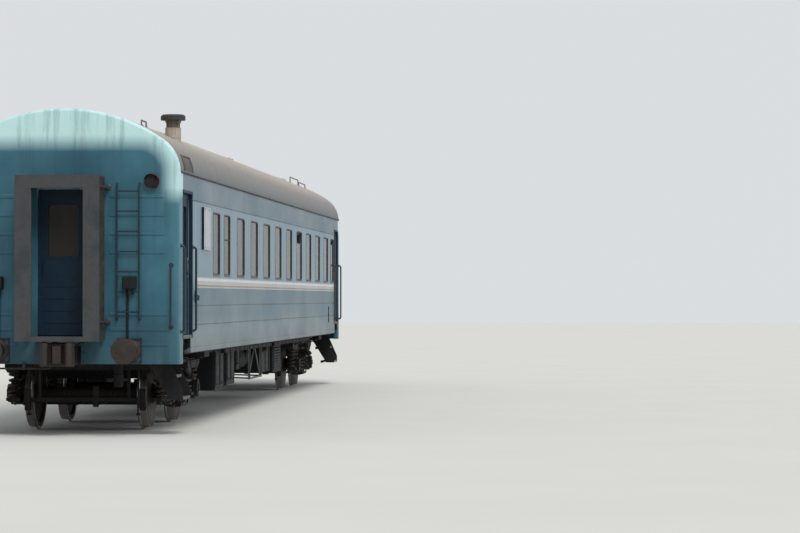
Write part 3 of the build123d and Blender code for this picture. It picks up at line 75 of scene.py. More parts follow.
# a node tree with the few moves the materials need; colour holds the coats laid so far
class Tree:
    def __init__(self, name):
        self.material = bpy.data.materials.new(name)
        self.material.use_nodes = True
        self.nodes = self.material.node_tree.nodes
        self.links = self.material.node_tree.links
        self.nodes.clear()
        self.coord = self.add("ShaderNodeTexCoord").outputs["Object"]
        self.x, self.y, self.z = self.add("ShaderNodeSeparateXYZ", {0: self.coord}).outputs
        self.colour = None

    def add(self, kind, inputs=None, **settings):
        node = self.nodes.new(kind)
        for key, value in settings.items():
            setattr(node, key, value)
        for key, value in (inputs or {}).items():
            if isinstance(value, bpy.types.NodeSocket):
                self.links.new(value, node.inputs[key])
            else:
                node.inputs[key].default_value = value
        return node

    def calc(self, operation, first, second=0.0, clamp=False):
        return self.add("ShaderNodeMath", {0: first, 1: second}, operation=operation,
            use_clamp=clamp).outputs[0]

    def times(self, first, second):
        return self.calc("MULTIPLY", first, second)

    def plus(self, first, second):
        return self.calc("ADD", first, second)

    def most(self, first, second):
        return self.calc("MAXIMUM", first, second)

    def size(self, value):
        return self.calc("ABSOLUTE", value)

    def ramp(self, value, low, high, lowOut=0.0, highOut=1.0):
        return self.add("ShaderNodeMapRange", {0: value, 1: low, 2: high, 3: lowOut, 4: highOut}).outputs[0]

    def noise(self, scale, stretch=None, detail=4.0, rough=0.55):
        place = self.add("ShaderNodeMapping",
            {0: self.coord, 3: stretch}).outputs[0] if stretch else self.coord
        return self.add("ShaderNodeTexNoise", {"Vector": place, "Scale": scale, "Detail": detail,
            "Roughness": rough}).outputs["Fac"]

    def mix(self, factor, first, second):
        return self.add("ShaderNodeMix", {0: factor, 6: first, 7: second}, data_type="RGBA").outputs[2]

    # lay a tone over the colour, everywhere the factor is above nought
    def lay(self, factor, over):
        self.colour = self.mix(factor, self.colour, over)

    # the same, with the factor read from a pattern
    def stain(self, over, value, low, high, lowOut=0.0, highOut=1.0):
        self.lay(self.ramp(value, low, high, lowOut, highOut), over)

    def shade(self, factor, amount):
        dark = (amount, amount, amount, 1)
        self.colour = self.add("ShaderNodeMix", {0: factor, 6: self.colour, 7: dark}, data_type="RGBA",
            blend_type="MULTIPLY").outputs[2]

    # 1 between low and high, soft over edge metres
    def between(self, value, low, high, edge=0.002):
        up = self.ramp(value, low - edge, low + edge)
        return self.times(up, self.ramp(value, high - edge, high + edge, 1.0, 0.0))

    # 1 on thin lines that repeat every step metres
    def lines(self, value, step, width, start=0.0):
        wave = self.calc("PINGPONG", self.calc("SUBTRACT", value, start), step / 2)
        return self.ramp(wave, width * 0.5, width, 1.0, 0.0)

    # the part of the surface's normal along X or Y
    def facing(self, axis):
        normal = self.add("ShaderNodeNewGeometry").outputs["Normal"]
        return self.add("ShaderNodeSeparateXYZ", {0: normal}).outputs["XYZ".index(axis)]

    # 1 on faces that look toward the middle of the coach along the axis, above the floor
    def inward(self, axis, floor):
        along = self.times({"X": self.x, "Y": self.y}[axis], self.facing(axis))
        return self.times(self.ramp(along, -0.9, -0.7, 1.0, 0.0), self.ramp(self.z, floor, floor + 0.01))

    def bump(self, height, strength, distance, under=None):
        inputs = {"Height": height, "Strength": strength, "Distance": distance}
        if under:
            inputs["Normal"] = under
        return self.add("ShaderNodeBump", inputs).outputs[0]

    # roughness goes from low to high with a pattern
    def matt(self, value, low, high):
        return self.ramp(value, 0.3, 0.7, low, high)

    def finish(self, rough, normal=None, gloss=0.4, **sockets):
        inputs = {"Base Color": self.colour, "Roughness": rough, "Specular IOR Level": gloss}
        if normal:
            inputs["Normal"] = normal
        inputs.update({key.replace("_", " "): value for key, value in sockets.items()})
        shader = self.add("ShaderNodeBsdfPrincipled", inputs)
        self.add("ShaderNodeOutputMaterial", {0: shader.outputs[0]})
        return self.material


# paints of the body
sidePaint = {"colour": tone(106, 131, 145), "fresh": tone(115, 141, 156), "belt": tone(63, 95, 109),
    "letterboardShade": tone(86, 108, 122), "weathered": tone(104, 125, 131), "streak": tone(86, 102, 109),
    "grime": tone(72, 77, 76), "band": tone(170, 173, 176), "bandStripe": tone(134, 114, 84),
    "bandLine": tone(208, 207, 205), "drip": 3.175, "top": 3.486, "bandFrom": 1.977, "bandTo": 2.123,
    "bandStart": -10.24, "bandEnd": 10.72, "grooves": (1.466, 1.728), "skirtSeam": 1.165, "panelStep": 1.757,
    "panelStart": -6.1585, "windowBottom": 2.178, "skirtBottom": 1.093, "lining": tone(170, 152, 124),
    "floor": 1.2}


def makeSidePaint(look):
    t = Tree("sidePaint")
    sill, low, high, drip = look["windowBottom"], look["bandFrom"], look["bandTo"], look["drip"]
    broad, fine = t.noise(0.7, (0.6, 1, 1.6), 3), t.noise(38, None, 5)
    streaks, runs = t.noise(9, (1.0, 1.0, 0.07), 5, 0.62), t.noise(24, (1.0, 1.0, 0.03), 4, 0.7)
    t.colour = look["colour"]
    t.stain(look["fresh"], broad, 0.35, 0.65)
    # painted shade: the wall above the drip moulding is darker, as under the gutter
    t.stain(look["letterboardShade"], t.z, drip - 0.02, drip + 0.02)
    t.lay(t.times(t.ramp(t.z, 1.95, 2.12, 1.0, 0.0), t.ramp(broad, 0.3, 0.7, 1.0, 0.75)), look["belt"])
    t.lay(t.times(t.ramp(t.z, 1.36, 1.60, 1.0, 0.0), t.ramp(broad, 0.3, 0.6, 0.9, 0.45)), look["weathered"])
    t.stain(look["streak"], streaks, 0.56, 0.78, 0.0, 0.5)
    # runs of dirt below the windows, under the drip moulding and along the skirt
    t.lay(t.times(t.between(t.z, sill - 0.42, sill - 0.03, 0.03), t.ramp(runs, 0.58, 0.75, 0.0, 0.45)),
        look["grime"])
    t.lay(t.times(t.between(t.z, 3.30, 3.49, 0.05), t.ramp(runs, 0.5, 0.75, 0.05, 0.4)), look["streak"])
    skirt = t.ramp(t.z, look["skirtBottom"], look["skirtBottom"] + 0.32, 0.75, 0.0)
    t.lay(t.times(skirt, t.ramp(streaks, 0.3, 0.7, 0.35, 1.0)), look["grime"])
    # the pale band with its stripe and fine lines
    inBand = t.times(t.between(t.z, low, high), t.between(t.x, look["bandStart"], look["bandEnd"]))
    band = t.mix(t.between(t.z, low + 0.018, low + 0.040), look["band"], look["bandStripe"])
    band = t.mix(t.between(t.z, high - 0.050, high - 0.014), band, look["bandLine"])
    band = t.mix(t.ramp(streaks, 0.5, 0.8, 0.0, 0.4), band, look["weathered"])
    t.lay(t.times(inBand, t.ramp(fine, 0.3, 0.42, 0.82, 1.0)), band)
    # grooves and panel seams hold dirt; the dark lines under the drip moulding and under the gutter are
    # painted shadow
    seams = t.times(t.lines(t.x, look["panelStep"], 0.006, look["panelStart"]),
        t.between(t.z, look["grooves"][1], sill - 0.06, 0.004))
    skirtSeam = t.between(t.z, look["skirtSeam"] - 0.005, look["skirtSeam"] + 0.005)
    dirtAndShadowLines = t.most(t.times(seams, 0.35), t.times(skirtSeam, 0.55))
    # painted shadow: a dark line under the drip moulding and a dark band under the gutter
    dirtAndShadowLines = t.most(dirtAndShadowLines, t.times(t.between(t.z, drip - 0.013, drip + 0.001), 0.9))
    dirtAndShadowLines = t.most(dirtAndShadowLines, t.ramp(t.z, look["top"], look["top"] + 0.004))
    for height in look["grooves"]:
        dirtAndShadowLines = t.most(dirtAndShadowLines, t.between(t.z, height - 0.008, height + 0.008, 0.004))
    t.shade(dirtAndShadowLines, 0.42)
    t.shade(t.ramp(fine, 0.4, 0.7, 0.0, 0.3), 0.9)
    t.lay(t.inward("Y", look["floor"]), look["lining"])
    dents = t.plus(t.noise(1.9, (1.0, 1.0, 1.0), 2), t.times(fine, 0.02))
    normal = t.bump(t.times(dirtAndShadowLines, -1.0), 0.6, 0.004, t.bump(dents, 0.35, 0.012))
    return t.finish(t.matt(broad, 0.34, 0.52), normal, 0.32, Coat_Weight=0.12, Coat_Roughness=0.35)


# painted shade: the end sheet's main and faded tones are darker than its teal paint, as if it stood in
# shadow
endPaint = {"colour": tone(36, 84, 102), "faded": tone(55, 105, 121), "dirt": tone(38, 64, 74),
    "rim": tone(86, 134, 150), "paintedSunRim": tone(198, 234, 234), "bottom": 0.958, "lining": tone(150, 140, 122),
    "floor": 1.2, "across": 1.0, "eaves": 3.498}


def makeEndPaint(look):
    t = Tree("endPaint")
    broad, fine = t.noise(1.3, None, 3), t.noise(45, None, 4)
    streaks = t.noise(8, (1.0, 1.0, 0.09), 5, 0.65)
    t.colour = look["colour"]
    t.stain(look["faded"], broad, 0.35, 0.68)
    # painted light: the sheet is painted lighter toward its rounded edge, and painted sunlight lies on it
    # above the doors
    aside = t.most(t.calc("SUBTRACT", t.size(t.y), look["across"]), 0.0)
    above = t.most(t.calc("SUBTRACT", t.z, look["eaves"]), 0.0)
    reach = t.calc("SQRT", t.plus(t.times(aside, aside), t.times(above, above)))
    t.stain(look["rim"], reach, 0.40, 0.53, 0.0, 0.4)
    t.lay(t.times(t.ramp(reach, 0.28, 0.50, 0.0, 0.85), t.ramp(t.z, 3.08, 3.30)), look["paintedSunRim"])
    # painted highlight on faces that turn away from the end, round the rounded edge, with painted sunlight
    # above the doors
    rim = t.mix(t.ramp(t.z, 3.15, 3.3), look["rim"], look["paintedSunRim"])
    t.stain(rim, t.size(t.facing("X")), 0.2, 0.85, 0.85, 0.0)
    t.stain(look["dirt"], streaks, 0.5, 0.78, 0.0, 0.55)
    low = t.ramp(t.z, look["bottom"], look["bottom"] + 0.9, 0.85, 0.0)
    t.lay(t.times(low, t.ramp(streaks, 0.3, 0.7, 0.4, 1.0)), look["dirt"])
    t.shade(t.ramp(fine, 0.45, 0.75, 0.0, 0.4), 0.85)
    t.lay(t.inward("X", look["floor"]), look["lining"])
    return t.finish(t.matt(broad, 0.4, 0.58), t.bump(t.plus(broad, t.times(fine, 0.05)), 0.3, 0.01))


roofPaint = {"crown": tone(170, 162, 151), "pale": tone(184, 177, 167), "middle": tone(135, 131, 128),
    "low": tone(112, 115, 117), "dark": tone(104, 102, 102), "soot": tone(72, 68, 66),
    "rust": tone(122, 94, 74), "gutter": tone(38, 41, 45), "eaves": 3.498, "seamStep": 0.8785}


def makeRoofPaint(look):
    t = Tree("roofPaint")
    eaves = look["eaves"]
    across, broad = t.noise(5.5, (1.0, 0.12, 0.12), 5, 0.6), t.noise(0.55, (0.5, 1.0, 1.0), 4)
    fine = t.noise(30, None, 5)
    t.colour = look["crown"]
    t.stain(look["pale"], broad, 0.3, 0.7)
    # painted shade: the roof is lightest on the crown and darker toward the eaves, as the sky light falls
    t.stain(look["middle"], t.z, eaves + 0.32, eaves + 0.66, 1.0, 0.0)
    t.stain(look["low"], t.z, eaves + 0.08, eaves + 0.34, 1.0, 0.0)
    t.stain(look["dark"], across, 0.48, 0.78, 0.0, 0.28)
    t.lay(t.times(t.ramp(t.noise(2.2, None, 6, 0.7), 0.6, 0.78), 0.5), look["soot"])
    t.stain(look["rust"], t.noise(7, None, 6, 0.75), 0.66, 0.74, 0.0, 0.6)
    seams = t.lines(t.x, look["seamStep"], 0.005)
    t.shade(t.times(seams, 0.25), 0.5)
    # painted shadow: a dark band along the foot of the roof sheet and on the gutter lip
    t.stain(look["gutter"], t.z, eaves + 0.014, eaves + 0.018, 1.0, 0.0)
    height = t.calc("SUBTRACT", t.times(broad, 0.6), t.times(seams, 0.3))
    return t.finish(t.matt(fine, 0.55, 0.75), t.bump(t.plus(height, t.times(fine, 0.06)), 0.4, 0.01), 0.3)


# plain coats: main, second, worn and dirty tone, roughness from and to, grain per metre
coats = {
    "doorPaint": {"tones": ((18, 38, 54), (24, 48, 66), (94, 106, 114), (18, 22, 27)),
        "rough": (0.45, 0.6), "grain": 40, "gloss": 0.15},
    "railPaint": {"tones": ((22, 38, 50), (28, 48, 60), (140, 140, 138), (20, 24, 28)),
        "rough": (0.3, 0.45), "grain": 60, "wear": 0.6},
    "windowRubber": {"tones": ((42, 45, 48), (60, 62, 64), (110, 110, 108), (30, 30, 30)),
        "rough": (0.6, 0.8), "grain": 80},
    "beadPaint": {"tones": ((84, 98, 106), (72, 84, 92), (124, 126, 124), (50, 56, 60)),
        "rough": (0.5, 0.7), "grain": 70},
    "bellowsRubber": {"tones": ((30, 31, 33), (44, 44, 44), (92, 88, 82), (62, 58, 52)),
        "rough": (0.7, 0.9), "grain": 55, "wear": 0.35},
    "frameBlack": {"tones": ((24, 25, 28), (34, 33, 34), (78, 62, 52), (52, 47, 42)),
        "rough": (0.6, 0.85), "grain": 22, "wear": 0.35, "gloss": 0.2},
    "bogieBlack": {"tones": ((26, 26, 29), (38, 36, 36), (86, 68, 56), (58, 51, 45)),
        "rough": (0.55, 0.8), "grain": 20, "wear": 0.45, "gloss": 0.25},
    "stripGrey": {"tones": ((108, 110, 112), (92, 92, 92), (122, 96, 78), (52, 48, 44)),
        "rough": (0.5, 0.7), "grain": 18, "wear": 0.35},
    "springSteel": {"tones": ((48, 44, 42), (66, 58, 52), (116, 84, 62), (60, 52, 44)),
        "rough": (0.5, 0.75), "grain": 50, "wear": 0.5, "metal": 0.3},
    # painted shade: the box paint is darkened to stand for the shade under the coach
    "boxGrey": {"tones": ((27, 29, 33), (34, 35, 38), (74, 62, 54), (25, 24, 24)),
        "rough": (0.5, 0.7), "grain": 16, "wear": 0.3, "gloss": 0.15},
    "floorSteel": {"tones": ((84, 84, 84), (104, 102, 98), (150, 146, 140), (50, 46, 42)),
        "rough": (0.5, 0.75), "grain": 30, "wear": 0.4, "metal": 0.4},
    "ventSteel": {"tones": ((112, 108, 102), (92, 86, 80), (128, 88, 62), (58, 54, 50)),
        "rough": (0.55, 0.75), "grain": 25, "wear": 0.5, "metal": 0.2},
    "couplerIron": {"tones": ((50, 46, 43), (66, 58, 52), (130, 112, 96), (38, 34, 30)),
        "rough": (0.45, 0.7), "grain": 24, "wear": 0.5, "metal": 0.5},
    "gangwaySteel": {"tones": ((56, 60, 64), (74, 76, 78), (132, 120, 108), (44, 42, 40)),
        "rough": (0.45, 0.7), "grain": 26, "wear": 0.45, "metal": 0.3},
    "boardWhite": {"tones": ((176, 184, 191), (166, 173, 180), (150, 150, 148), (176, 180, 182)),
        "rough": (0.3, 0.5), "grain": 30},
    "roomLaminate": {"tones": ((176, 158, 130), (164, 144, 116), (130, 112, 88), (112, 96, 76)),
        "rough": (0.35, 0.5), "grain": 12},
    "ceilingPaint": {"tones": ((206, 204, 196), (196, 192, 184), (160, 154, 144), (150, 142, 130)),
        "rough": (0.5, 0.65), "grain": 10},
    "boltSteel": {"tones": ((62, 58, 54), (84, 76, 68), (120, 92, 70), (40, 36, 32)),
        "rough": (0.45, 0.65), "grain": 90, "wear": 0.5, "metal": 0.6},
    "brightMetal": {"tones": ((168, 168, 166), (148, 148, 148), (120, 118, 114), (92, 90, 86)),
        "rough": (0.25, 0.4), "grain": 60, "wear": 0.3, "metal": 0.9},
}

# a door's leaf and its pane are one node, so their coat turns to glass inside the pane's outline
doorPane = {"z": 2.728, "half": (0.206, 0.346), "cover": 0.45}
coats["sideDoorPaint"] = {**coats["doorPaint"], "pane": ("x", 11.0625)}
coats["endDoorPaint"] = {**coats["doorPaint"], "pane": ("y", 0.0075)}


def makeCoat(name, look):
    t = Tree(name)
    grain = look["grain"]
    broad, fine = t.noise(grain * 0.12, None, 4), t.noise(grain, None, 5)
    chips = t.noise(grain * 0.6, None, 8, 0.75)
    t.colour, second, worn, dirt = [tone(*rgb) for rgb in look["tones"]]
    t.stain(second, broad, 0.35, 0.65)
    t.stain(dirt, broad, 0.5, 0.8, 0.0, 0.7)
    edge = 0.72 - 0.12 * look.get("wear", 0.2)
    t.stain(worn, chips, edge, edge + 0.05, 0.0, 0.8)
    t.shade(t.ramp(fine, 0.4, 0.75, 0.0, 0.5), 0.82)
    rough, cover = t.matt(fine, *look["rough"]), 1.0
    if "pane" in look:
        across, middle = look["pane"]
        width, height = doorPane["half"]
        place = t.size({"x": t.x, "y": t.y}[across])
        glazed = t.times(t.between(place, middle - width, middle + width),
            t.between(t.z, doorPane["z"] - height, doorPane["z"] + height))
        t.lay(glazed, paneGlass["tint"])
        rough = t.times(rough, t.ramp(glazed, 0.0, 1.0, 1.0, 0.15))
        cover = t.ramp(glazed, 0.0, 1.0, 1.0, doorPane["cover"])
    return t.finish(rough, t.bump(t.plus(fine, t.times(chips, 0.5)), 0.25, 0.002), look.get("gloss", 0.4),
        Metallic=look.get("metal", 0.0), Alpha=cover)


# wheels: bright running tread, brown rusty disc
wheelSteel = {"disc": tone(46, 41, 38), "rust": tone(64, 52, 45), "dark": tone(30, 28, 27),
    "tread": tone(150, 146, 142)}


def makeWheelSteel(look):
    t = Tree("wheelSteel")
    broad, fine = t.noise(4, None, 5), t.noise(50, None, 5)
    t.colour = look["disc"]
    t.stain(look["rust"], broad, 0.35, 0.65)
    t.stain(look["dark"], fine, 0.5, 0.75, 0.0, 0.6)
    return t.finish(t.matt(fine, 0.5, 0.75), t.bump(fine, 0.3, 0.002), Metallic=0.35)


# the stack: pale collar at the roof, brown neck, sooty cap
stackSteel = {"collar": tone(170, 160, 146), "neck": tone(104, 96, 84), "cap": tone(54, 52, 50),
    "soot": tone(34, 33, 33), "rust": tone(110, 82, 62), "neckDrop": 0.186, "capDrop": 0.082,
    "top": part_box("roof_stack")[1][2]}


def makeStackSteel(look):
    t = Tree("stackSteel")
    broad, fine, runs = t.noise(7, None, 5), t.noise(46, None, 5), t.noise(30, (1.0, 1.0, 0.1), 4, 0.65)
    t.colour = look["collar"]
    for part in ("neck", "cap"):
        start = look["top"] - look[part + "Drop"]
        t.stain(look[part], t.z, start - 0.004, start + 0.004)
    t.stain(look["soot"], runs, 0.5, 0.75, 0.0, 0.55)
    t.stain(look["rust"], broad, 0.58, 0.72, 0.0, 0.5)
    return t.finish(t.matt(fine, 0.5, 0.75), t.bump(t.plus(fine, broad), 0.3, 0.002), Metallic=0.15)


paneGlass = {"tint": tone(62, 61, 58), "dust": tone(104, 97, 88), "clear": 0.10}


# dusty glass that lets less through at a flat angle
def makePaneGlass(look):
    t = Tree("paneGlass")
    dust, fine = t.noise(6, (1.0, 1.0, 0.35), 5, 0.65), t.noise(60, None, 4)
    mirror = t.add("ShaderNodeFresnel", {"IOR": 1.5}).outputs[0]
    cover = t.calc("ADD", t.ramp(mirror, 0.04, 0.22, look["clear"], 0.84), t.ramp(dust, 0.5, 0.8, 0.0, 0.18),
        True)
    t.colour = look["tint"]
    t.stain(look["dust"], dust, 0.4, 0.8, 0.0, 0.6)
    return t.finish(t.matt(fine, 0.03, 0.09), t.bump(t.noise(1.5, None, 2), 0.12, 0.004), 0.05, Alpha=cover)


lampRed = {"colour": tone(132, 22, 20), "dark": tone(80, 12, 12)}


def makeLampRed(look):
    t = Tree("lampRed")
    t.colour = look["colour"]
    t.lay(t.noise(20), look["dark"])
    return t.finish(0.16, t.bump(t.calc("PINGPONG", t.z, 0.006), 0.5, 0.003), 0.5, Coat_Weight=0.4)


berthVinyl = {"colour": tone(112, 58, 48), "second": tone(98, 48, 40), "crease": tone(70, 34, 30)}


def makeBerthVinyl(look):
    t = Tree("berthVinyl")
    cells = t.add("ShaderNodeTexVoronoi", {"Vector": t.coord, "Scale": 320.0},
        feature="DISTANCE_TO_EDGE").outputs[0]
    broad = t.noise(5, None, 4)
    t.colour = look["colour"]
    t.stain(look["second"], broad, 0.35, 0.65)
    t.stain(look["crease"], cells, 0.0, 0.06, 0.5, 0.0)
    height = t.plus(t.ramp(cells, 0.0, 0.1), t.times(broad, 0.8))
    return t.finish(t.matt(broad, 0.38, 0.55), t.bump(height, 0.3, 0.002), 0.5, Sheen_Weight=0.08)


mats = {name: makeCoat(name, look) for name, look in coats.items()}
mats["sidePaint"] = makeSidePaint(sidePaint)
mats["endPaint"] = makeEndPaint(endPaint)
mats["roofPaint"] = makeRoofPaint(roofPaint)
mats["wheelSteel"] = makeWheelSteel(wheelSteel)
mats["stackSteel"] = makeStackSteel(stackSteel)
mats["paneGlass"] = makePaneGlass(paneGlass)
mats["lampRed"] = makeLampRed(lampRed)
mats["berthVinyl"] = makeBerthVinyl(berthVinyl)
print("materials made,", len(mats))

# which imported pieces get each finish, by the start of their names
nodeFinishes = {
    "sidePaint": ["side_wall"], "endPaint": ["end_wall"], "roofPaint": ["roof"],
    "sideDoorPaint": ["side_door"], "endDoorPaint": ["end_door"], "windowRubber": ["window_frames"],
    "paneGlass": ["window_glass"], "floorSteel": ["floor_deck", "step_flap"],
    "boxGrey": ["battery_boxes", "equipment_boxes"],
    "frameBlack": ["underframe", "air_reservoirs", "brake_cylinder", "entry_steps"],
    "bogieBlack": ["bogie_", "brake_gear", "axle_boxes"], "springSteel": ["bogie_springs"],
    "wheelSteel": ["wheelset"], "bellowsRubber": ["gangway_bellows"], "gangwaySteel": ["gangway_frame"],
    "couplerIron": ["coupler", "buffers"], "railPaint": ["handrails"],
    "ventSteel": ["roof_vents", "air_intakes"], "stackSteel": ["roof_stack"],
    "roomLaminate": ["bulkheads", "corridor_wall", "room_walls", "tables"],
    "berthVinyl": ["lower_berths", "upper_berths"], "boardWhite": ["destination_board"],
    "lampRed": ["tail_lamps"],
}
finishOf = {start: finish for finish, starts in nodeFinishes.items() for start in starts}
for name, node in nodes.items():
    matching = [start for start in finishOf if name.startswith(start)]
    node.data.materials.clear()
    node.data.materials.append(mats[finishOf[max(matching, key=len)]])
print("packed pieces dressed")

# sizes read from the frame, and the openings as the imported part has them
wallBox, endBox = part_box("side_wall_right"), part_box("end_wall_rear")
wallY = -wallBox[0][1] - 0.008  # the drip moulding stands 8 mm out
wallX = round(endBox[1][0] - 0.03, 4)
floorTop, eaves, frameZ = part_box("lower_berths")[0][2], wallBox[1][2], 1.068
windows = {"bottom": 2.178, "top": 3.058, "first": -5.28, "pitch": 1.757, "count": 9, "width": 0.92,
    "others": [(-8.13, 0.74), (-6.935, 0.69), (10.165, 0.71)], "corner": 0.05, "recess": 0.03}
windowRow = windows["others"] + [(windows["first"] + i * windows["pitch"], windows["width"])
    for i in range(windows["count"])]
doorway = {"inner": 10.64, "outer": 11.5, "top": 3.248, "face": wallY - 0.052, "glassX": 11.0625,
    "glassZ": 2.728, "glass": (0.42, 0.70)}
# the roof's section: a shoulder arc from the eaves and a crown arc over the middle
shoulder = {"radius": 0.55, "sweep": math.radians(56), "centre": wallY - 0.55}
jointY = shoulder["centre"] + shoulder["radius"] * math.cos(shoulder["sweep"])
crownRadius = jointY / math.cos(shoulder["sweep"])
crownCentre = eaves + (shoulder["radius"] - crownRadius) * math.sin(shoulder["sweep"])
shoulderArc = shoulder["radius"] * shoulder["sweep"]
roofArc = shoulderArc + crownRadius * (math.pi / 2 - shoulder["sweep"])


# a point of the roof's outer face at a share of its half section, counted from the eaves
def roofPoint(share, lift=0.0):
    run = share * roofArc
    if run < shoulderArc:
        angle, reach = run / shoulder["radius"], shoulder["radius"] + lift
        return shoulder["centre"] + reach * math.cos(angle), eaves + reach * math.sin(angle)
    angle, reach = shoulder["sweep"] + (run - shoulderArc) / crownRadius, crownRadius + lift
    return reach * math.cos(angle), crownCentre + reach * math.sin(angle)


# points of a circle about nought
def circle(radius, count, first=0.0):
    turns = [math.radians(first + 360 * k / count) for k in range(count)]
    return [(radius * math.cos(turn), radius * math.sin(turn)) for turn in turns]


# profiles for the lathe: a disc, a disc with a neck, and a hoop round something
def disc(radius, height, start=0.0):
    return [(0, start), (radius, start), (radius, start + height), (0, start + height)]


def stub(base, height, neck, rise, length):
    return [(0, 0), (base, 0), (base, height), (neck, rise), (neck, length), (0, length)]


def hoop(radius, depth, width, edge=0.0, start=0.0):
    inner, stop = radius - depth, start + width
    return [(inner, start), (radius, start + edge), (radius, stop - edge), (inner, stop)]


# mesh building: a piece collects its shapes here; xs, ys and start place what follows
class Shape:
    def __init__(self, xs=1, ys=1, start=0.0):
        self.points, self.faces = [], []
        self.at(xs, ys, start)

    def at(self, xs=1, ys=1, start=0.0):
        self.signs, self.start = (xs, ys, 1), Vector((start, 0, 0))

    def aim(self, axis):
        return Vector([sign * value for sign, value in zip(self.signs, axis)])

    def put(self, point):
        return self.aim(point) + self.start

    def add(self, points, faces):
        first = len(self.points)
        self.points += [tuple(point) for point in points]
        self.faces += [tuple(first + i for i in face) for face in faces]

    # a box with bevelled edges between two corners
    def box(self, low, high, bevel=0.003):
        pairs = [sorted(pair) for pair in zip(self.put(low), self.put(high))]
        bevel = min([bevel] + [(b - a) * 0.3 for a, b in pairs])
        mesh = bevelledBox(pairs, bevel, 1)
        mesh.verts.index_update()
        self.add([vert.co.copy() for vert in mesh.verts], [[v.index for v in face.verts]
            for face in mesh.faces])
        mesh.free()

    # the same, half wide to both sides of x
    def slab(self, x, half, y, z, bevel=0.003):
        self.box((x - half, y[0], z[0]), (x + half, y[1], z[1]), bevel)

    # rings of points joined into a skin, with caps or as a loop
    def join(self, rings, loop=False):
        count, last = len(rings[0]), len(rings) - 1
        faces = []
        for i in range(last + 1 if loop else last):
            j = (i + 1) % len(rings)
            for k in range(count):
                n = (k + 1) % count
                faces.append((i * count + k, i * count + n, j * count + n, j * count + k))
        if not loop:
            faces.append(tuple(reversed(range(count))))
            faces.append(tuple(range(last * count, (last + 1) * count)))
        self.add([point for ring in rings for point in ring], faces)

    def skin(self, rings):
        self.join([[self.put(point) for point in ring] for ring in rings])

    # a turned form: profile rows of (radius, distance along the axis)
    def lathe(self, profile, place, sides=24, axis=outward):
        self.turned(profile, self.put(place), self.aim(axis).normalized(), sides)

    def turned(self, profile, place, axis, sides):
        across = axis.orthogonal().normalized()
        other = axis.cross(across)
        self.join([[place + axis * along + across * u + other * v for u, v in circle(max(radius, 0.0005),
            sides)] for radius, along in profile])

    # a round bar along points, its corners rounded by bend
    def bar(self, points, radius, bend=0.0, sides=10):
        path = roundPath([self.put(point) for point in points], bend)
        rings, normal = [], None
        for i, point in enumerate(path):
            ahead = path[min(i + 1, len(path) - 1)] - path[max(i - 1, 0)]
            ahead.normalize()
            normal = ahead.orthogonal() if normal is None else normal - ahead * normal.dot(ahead)
            normal.normalize()
            side = ahead.cross(normal)
            rings.append([point + normal * u + side * v for u, v in circle(radius, sides)])
        self.join(rings)

    # hexagon heads with a washer
    def bolts(self, places, size, axis=outward):
        axis = self.aim(axis).normalized()
        for place in places:
            place = self.put(place)
            self.turned(disc(size * 0.95, size * 0.18), place, axis, 12)
            self.turned([(0, 0), (size * 0.62, 0), (size * 0.62, size * 0.5), (size * 0.5, size * 0.6),
                (0, size * 0.6)], place + axis * size * 0.18, axis, 6)

    # an upright ring with rounded corners; its depth runs along Y, or along X if it stands across
    def ring(self, centre, outer, inner, corner, depths, across=False):
        rings = []
        for size, depth in ((outer, depths[0]), (outer, depths[1]), (inner, depths[1]), (inner, depths[0])):
            outline = roundedOutline(*size, max(0.004, corner - (outer[0] - size[0]) / 2))
            middle = self.put((depth, centre[0], centre[1]) if across else (centre[0], depth, centre[1]))
            rings.append([middle + Vector((0, u, v) if across else (u, 0, v)) for u, v in outline])
        self.join(rings, loop=True)

    def piece(self, name, material, slot, body="coach_body", smooth=35, stands=()):
        mesh = bpy.data.meshes.new(name)
        mesh.from_pydata(self.points, [], self.faces)
        mesh.validate()
        work = bmesh.new()
        work.from_mesh(mesh)
        bmesh.ops.recalc_face_normals(work, faces=work.faces[:])
        work.to_mesh(mesh)
        work.free()
        mesh.polygons.foreach_set("use_smooth", [True] * len(mesh.polygons))
        mesh.set_sharp_from_angle(angle=math.radians(smooth))
        mesh.materials.append(mats[material])
        made = newObject(name, mesh)
        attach(made, body)
        if stands:
            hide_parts(*stands)


def roundPath(points, bend):
    if bend <= 0 or len(points) < 3:
        return points
    path = [points[0]]
    for before, corner, after in zip(points, points[1:], points[2:]):
        reach = min(bend, (before - corner).length * 0.45, (after - corner).length * 0.45)
        start = corner + (before - corner).normalized() * reach
        finish = corner + (after - corner).normalized() * reach
        for step in range(6):
            t = step / 5
            path.append(start.lerp(corner, t).lerp(corner.lerp(finish, t), t))
    return path + [points[-1]]


def roundedOutline(width, height, corner, steps=4):
    outline = []
    for cx, cy, turn in [(1, 1, 0), (-1, 1, 90), (-1, -1, 180), (1, -1, 270)]:
        for step in range(steps + 1):
            angle = math.radians(turn + 90 * step / steps)
            outline.append((cx * (width / 2 - corner) + corner * math.cos(angle),
                cy * (height / 2 - corner) + corner * math.sin(angle)))
    return outline


def grown(size, by):
    return (size[0] + by, size[1] + by)


# side windows: a painted bead, a rubber liner in the recess, catches inside
windowBead = {"width": 0.016, "proud": 0.004, "liner": 0.008, "lipHeight": 0.012, "lipDepth": 0.007,
    "catchHalf": 0.05, "catchHeight": 0.018, "catchDrop": 0.034, "catchFace": 0.075}


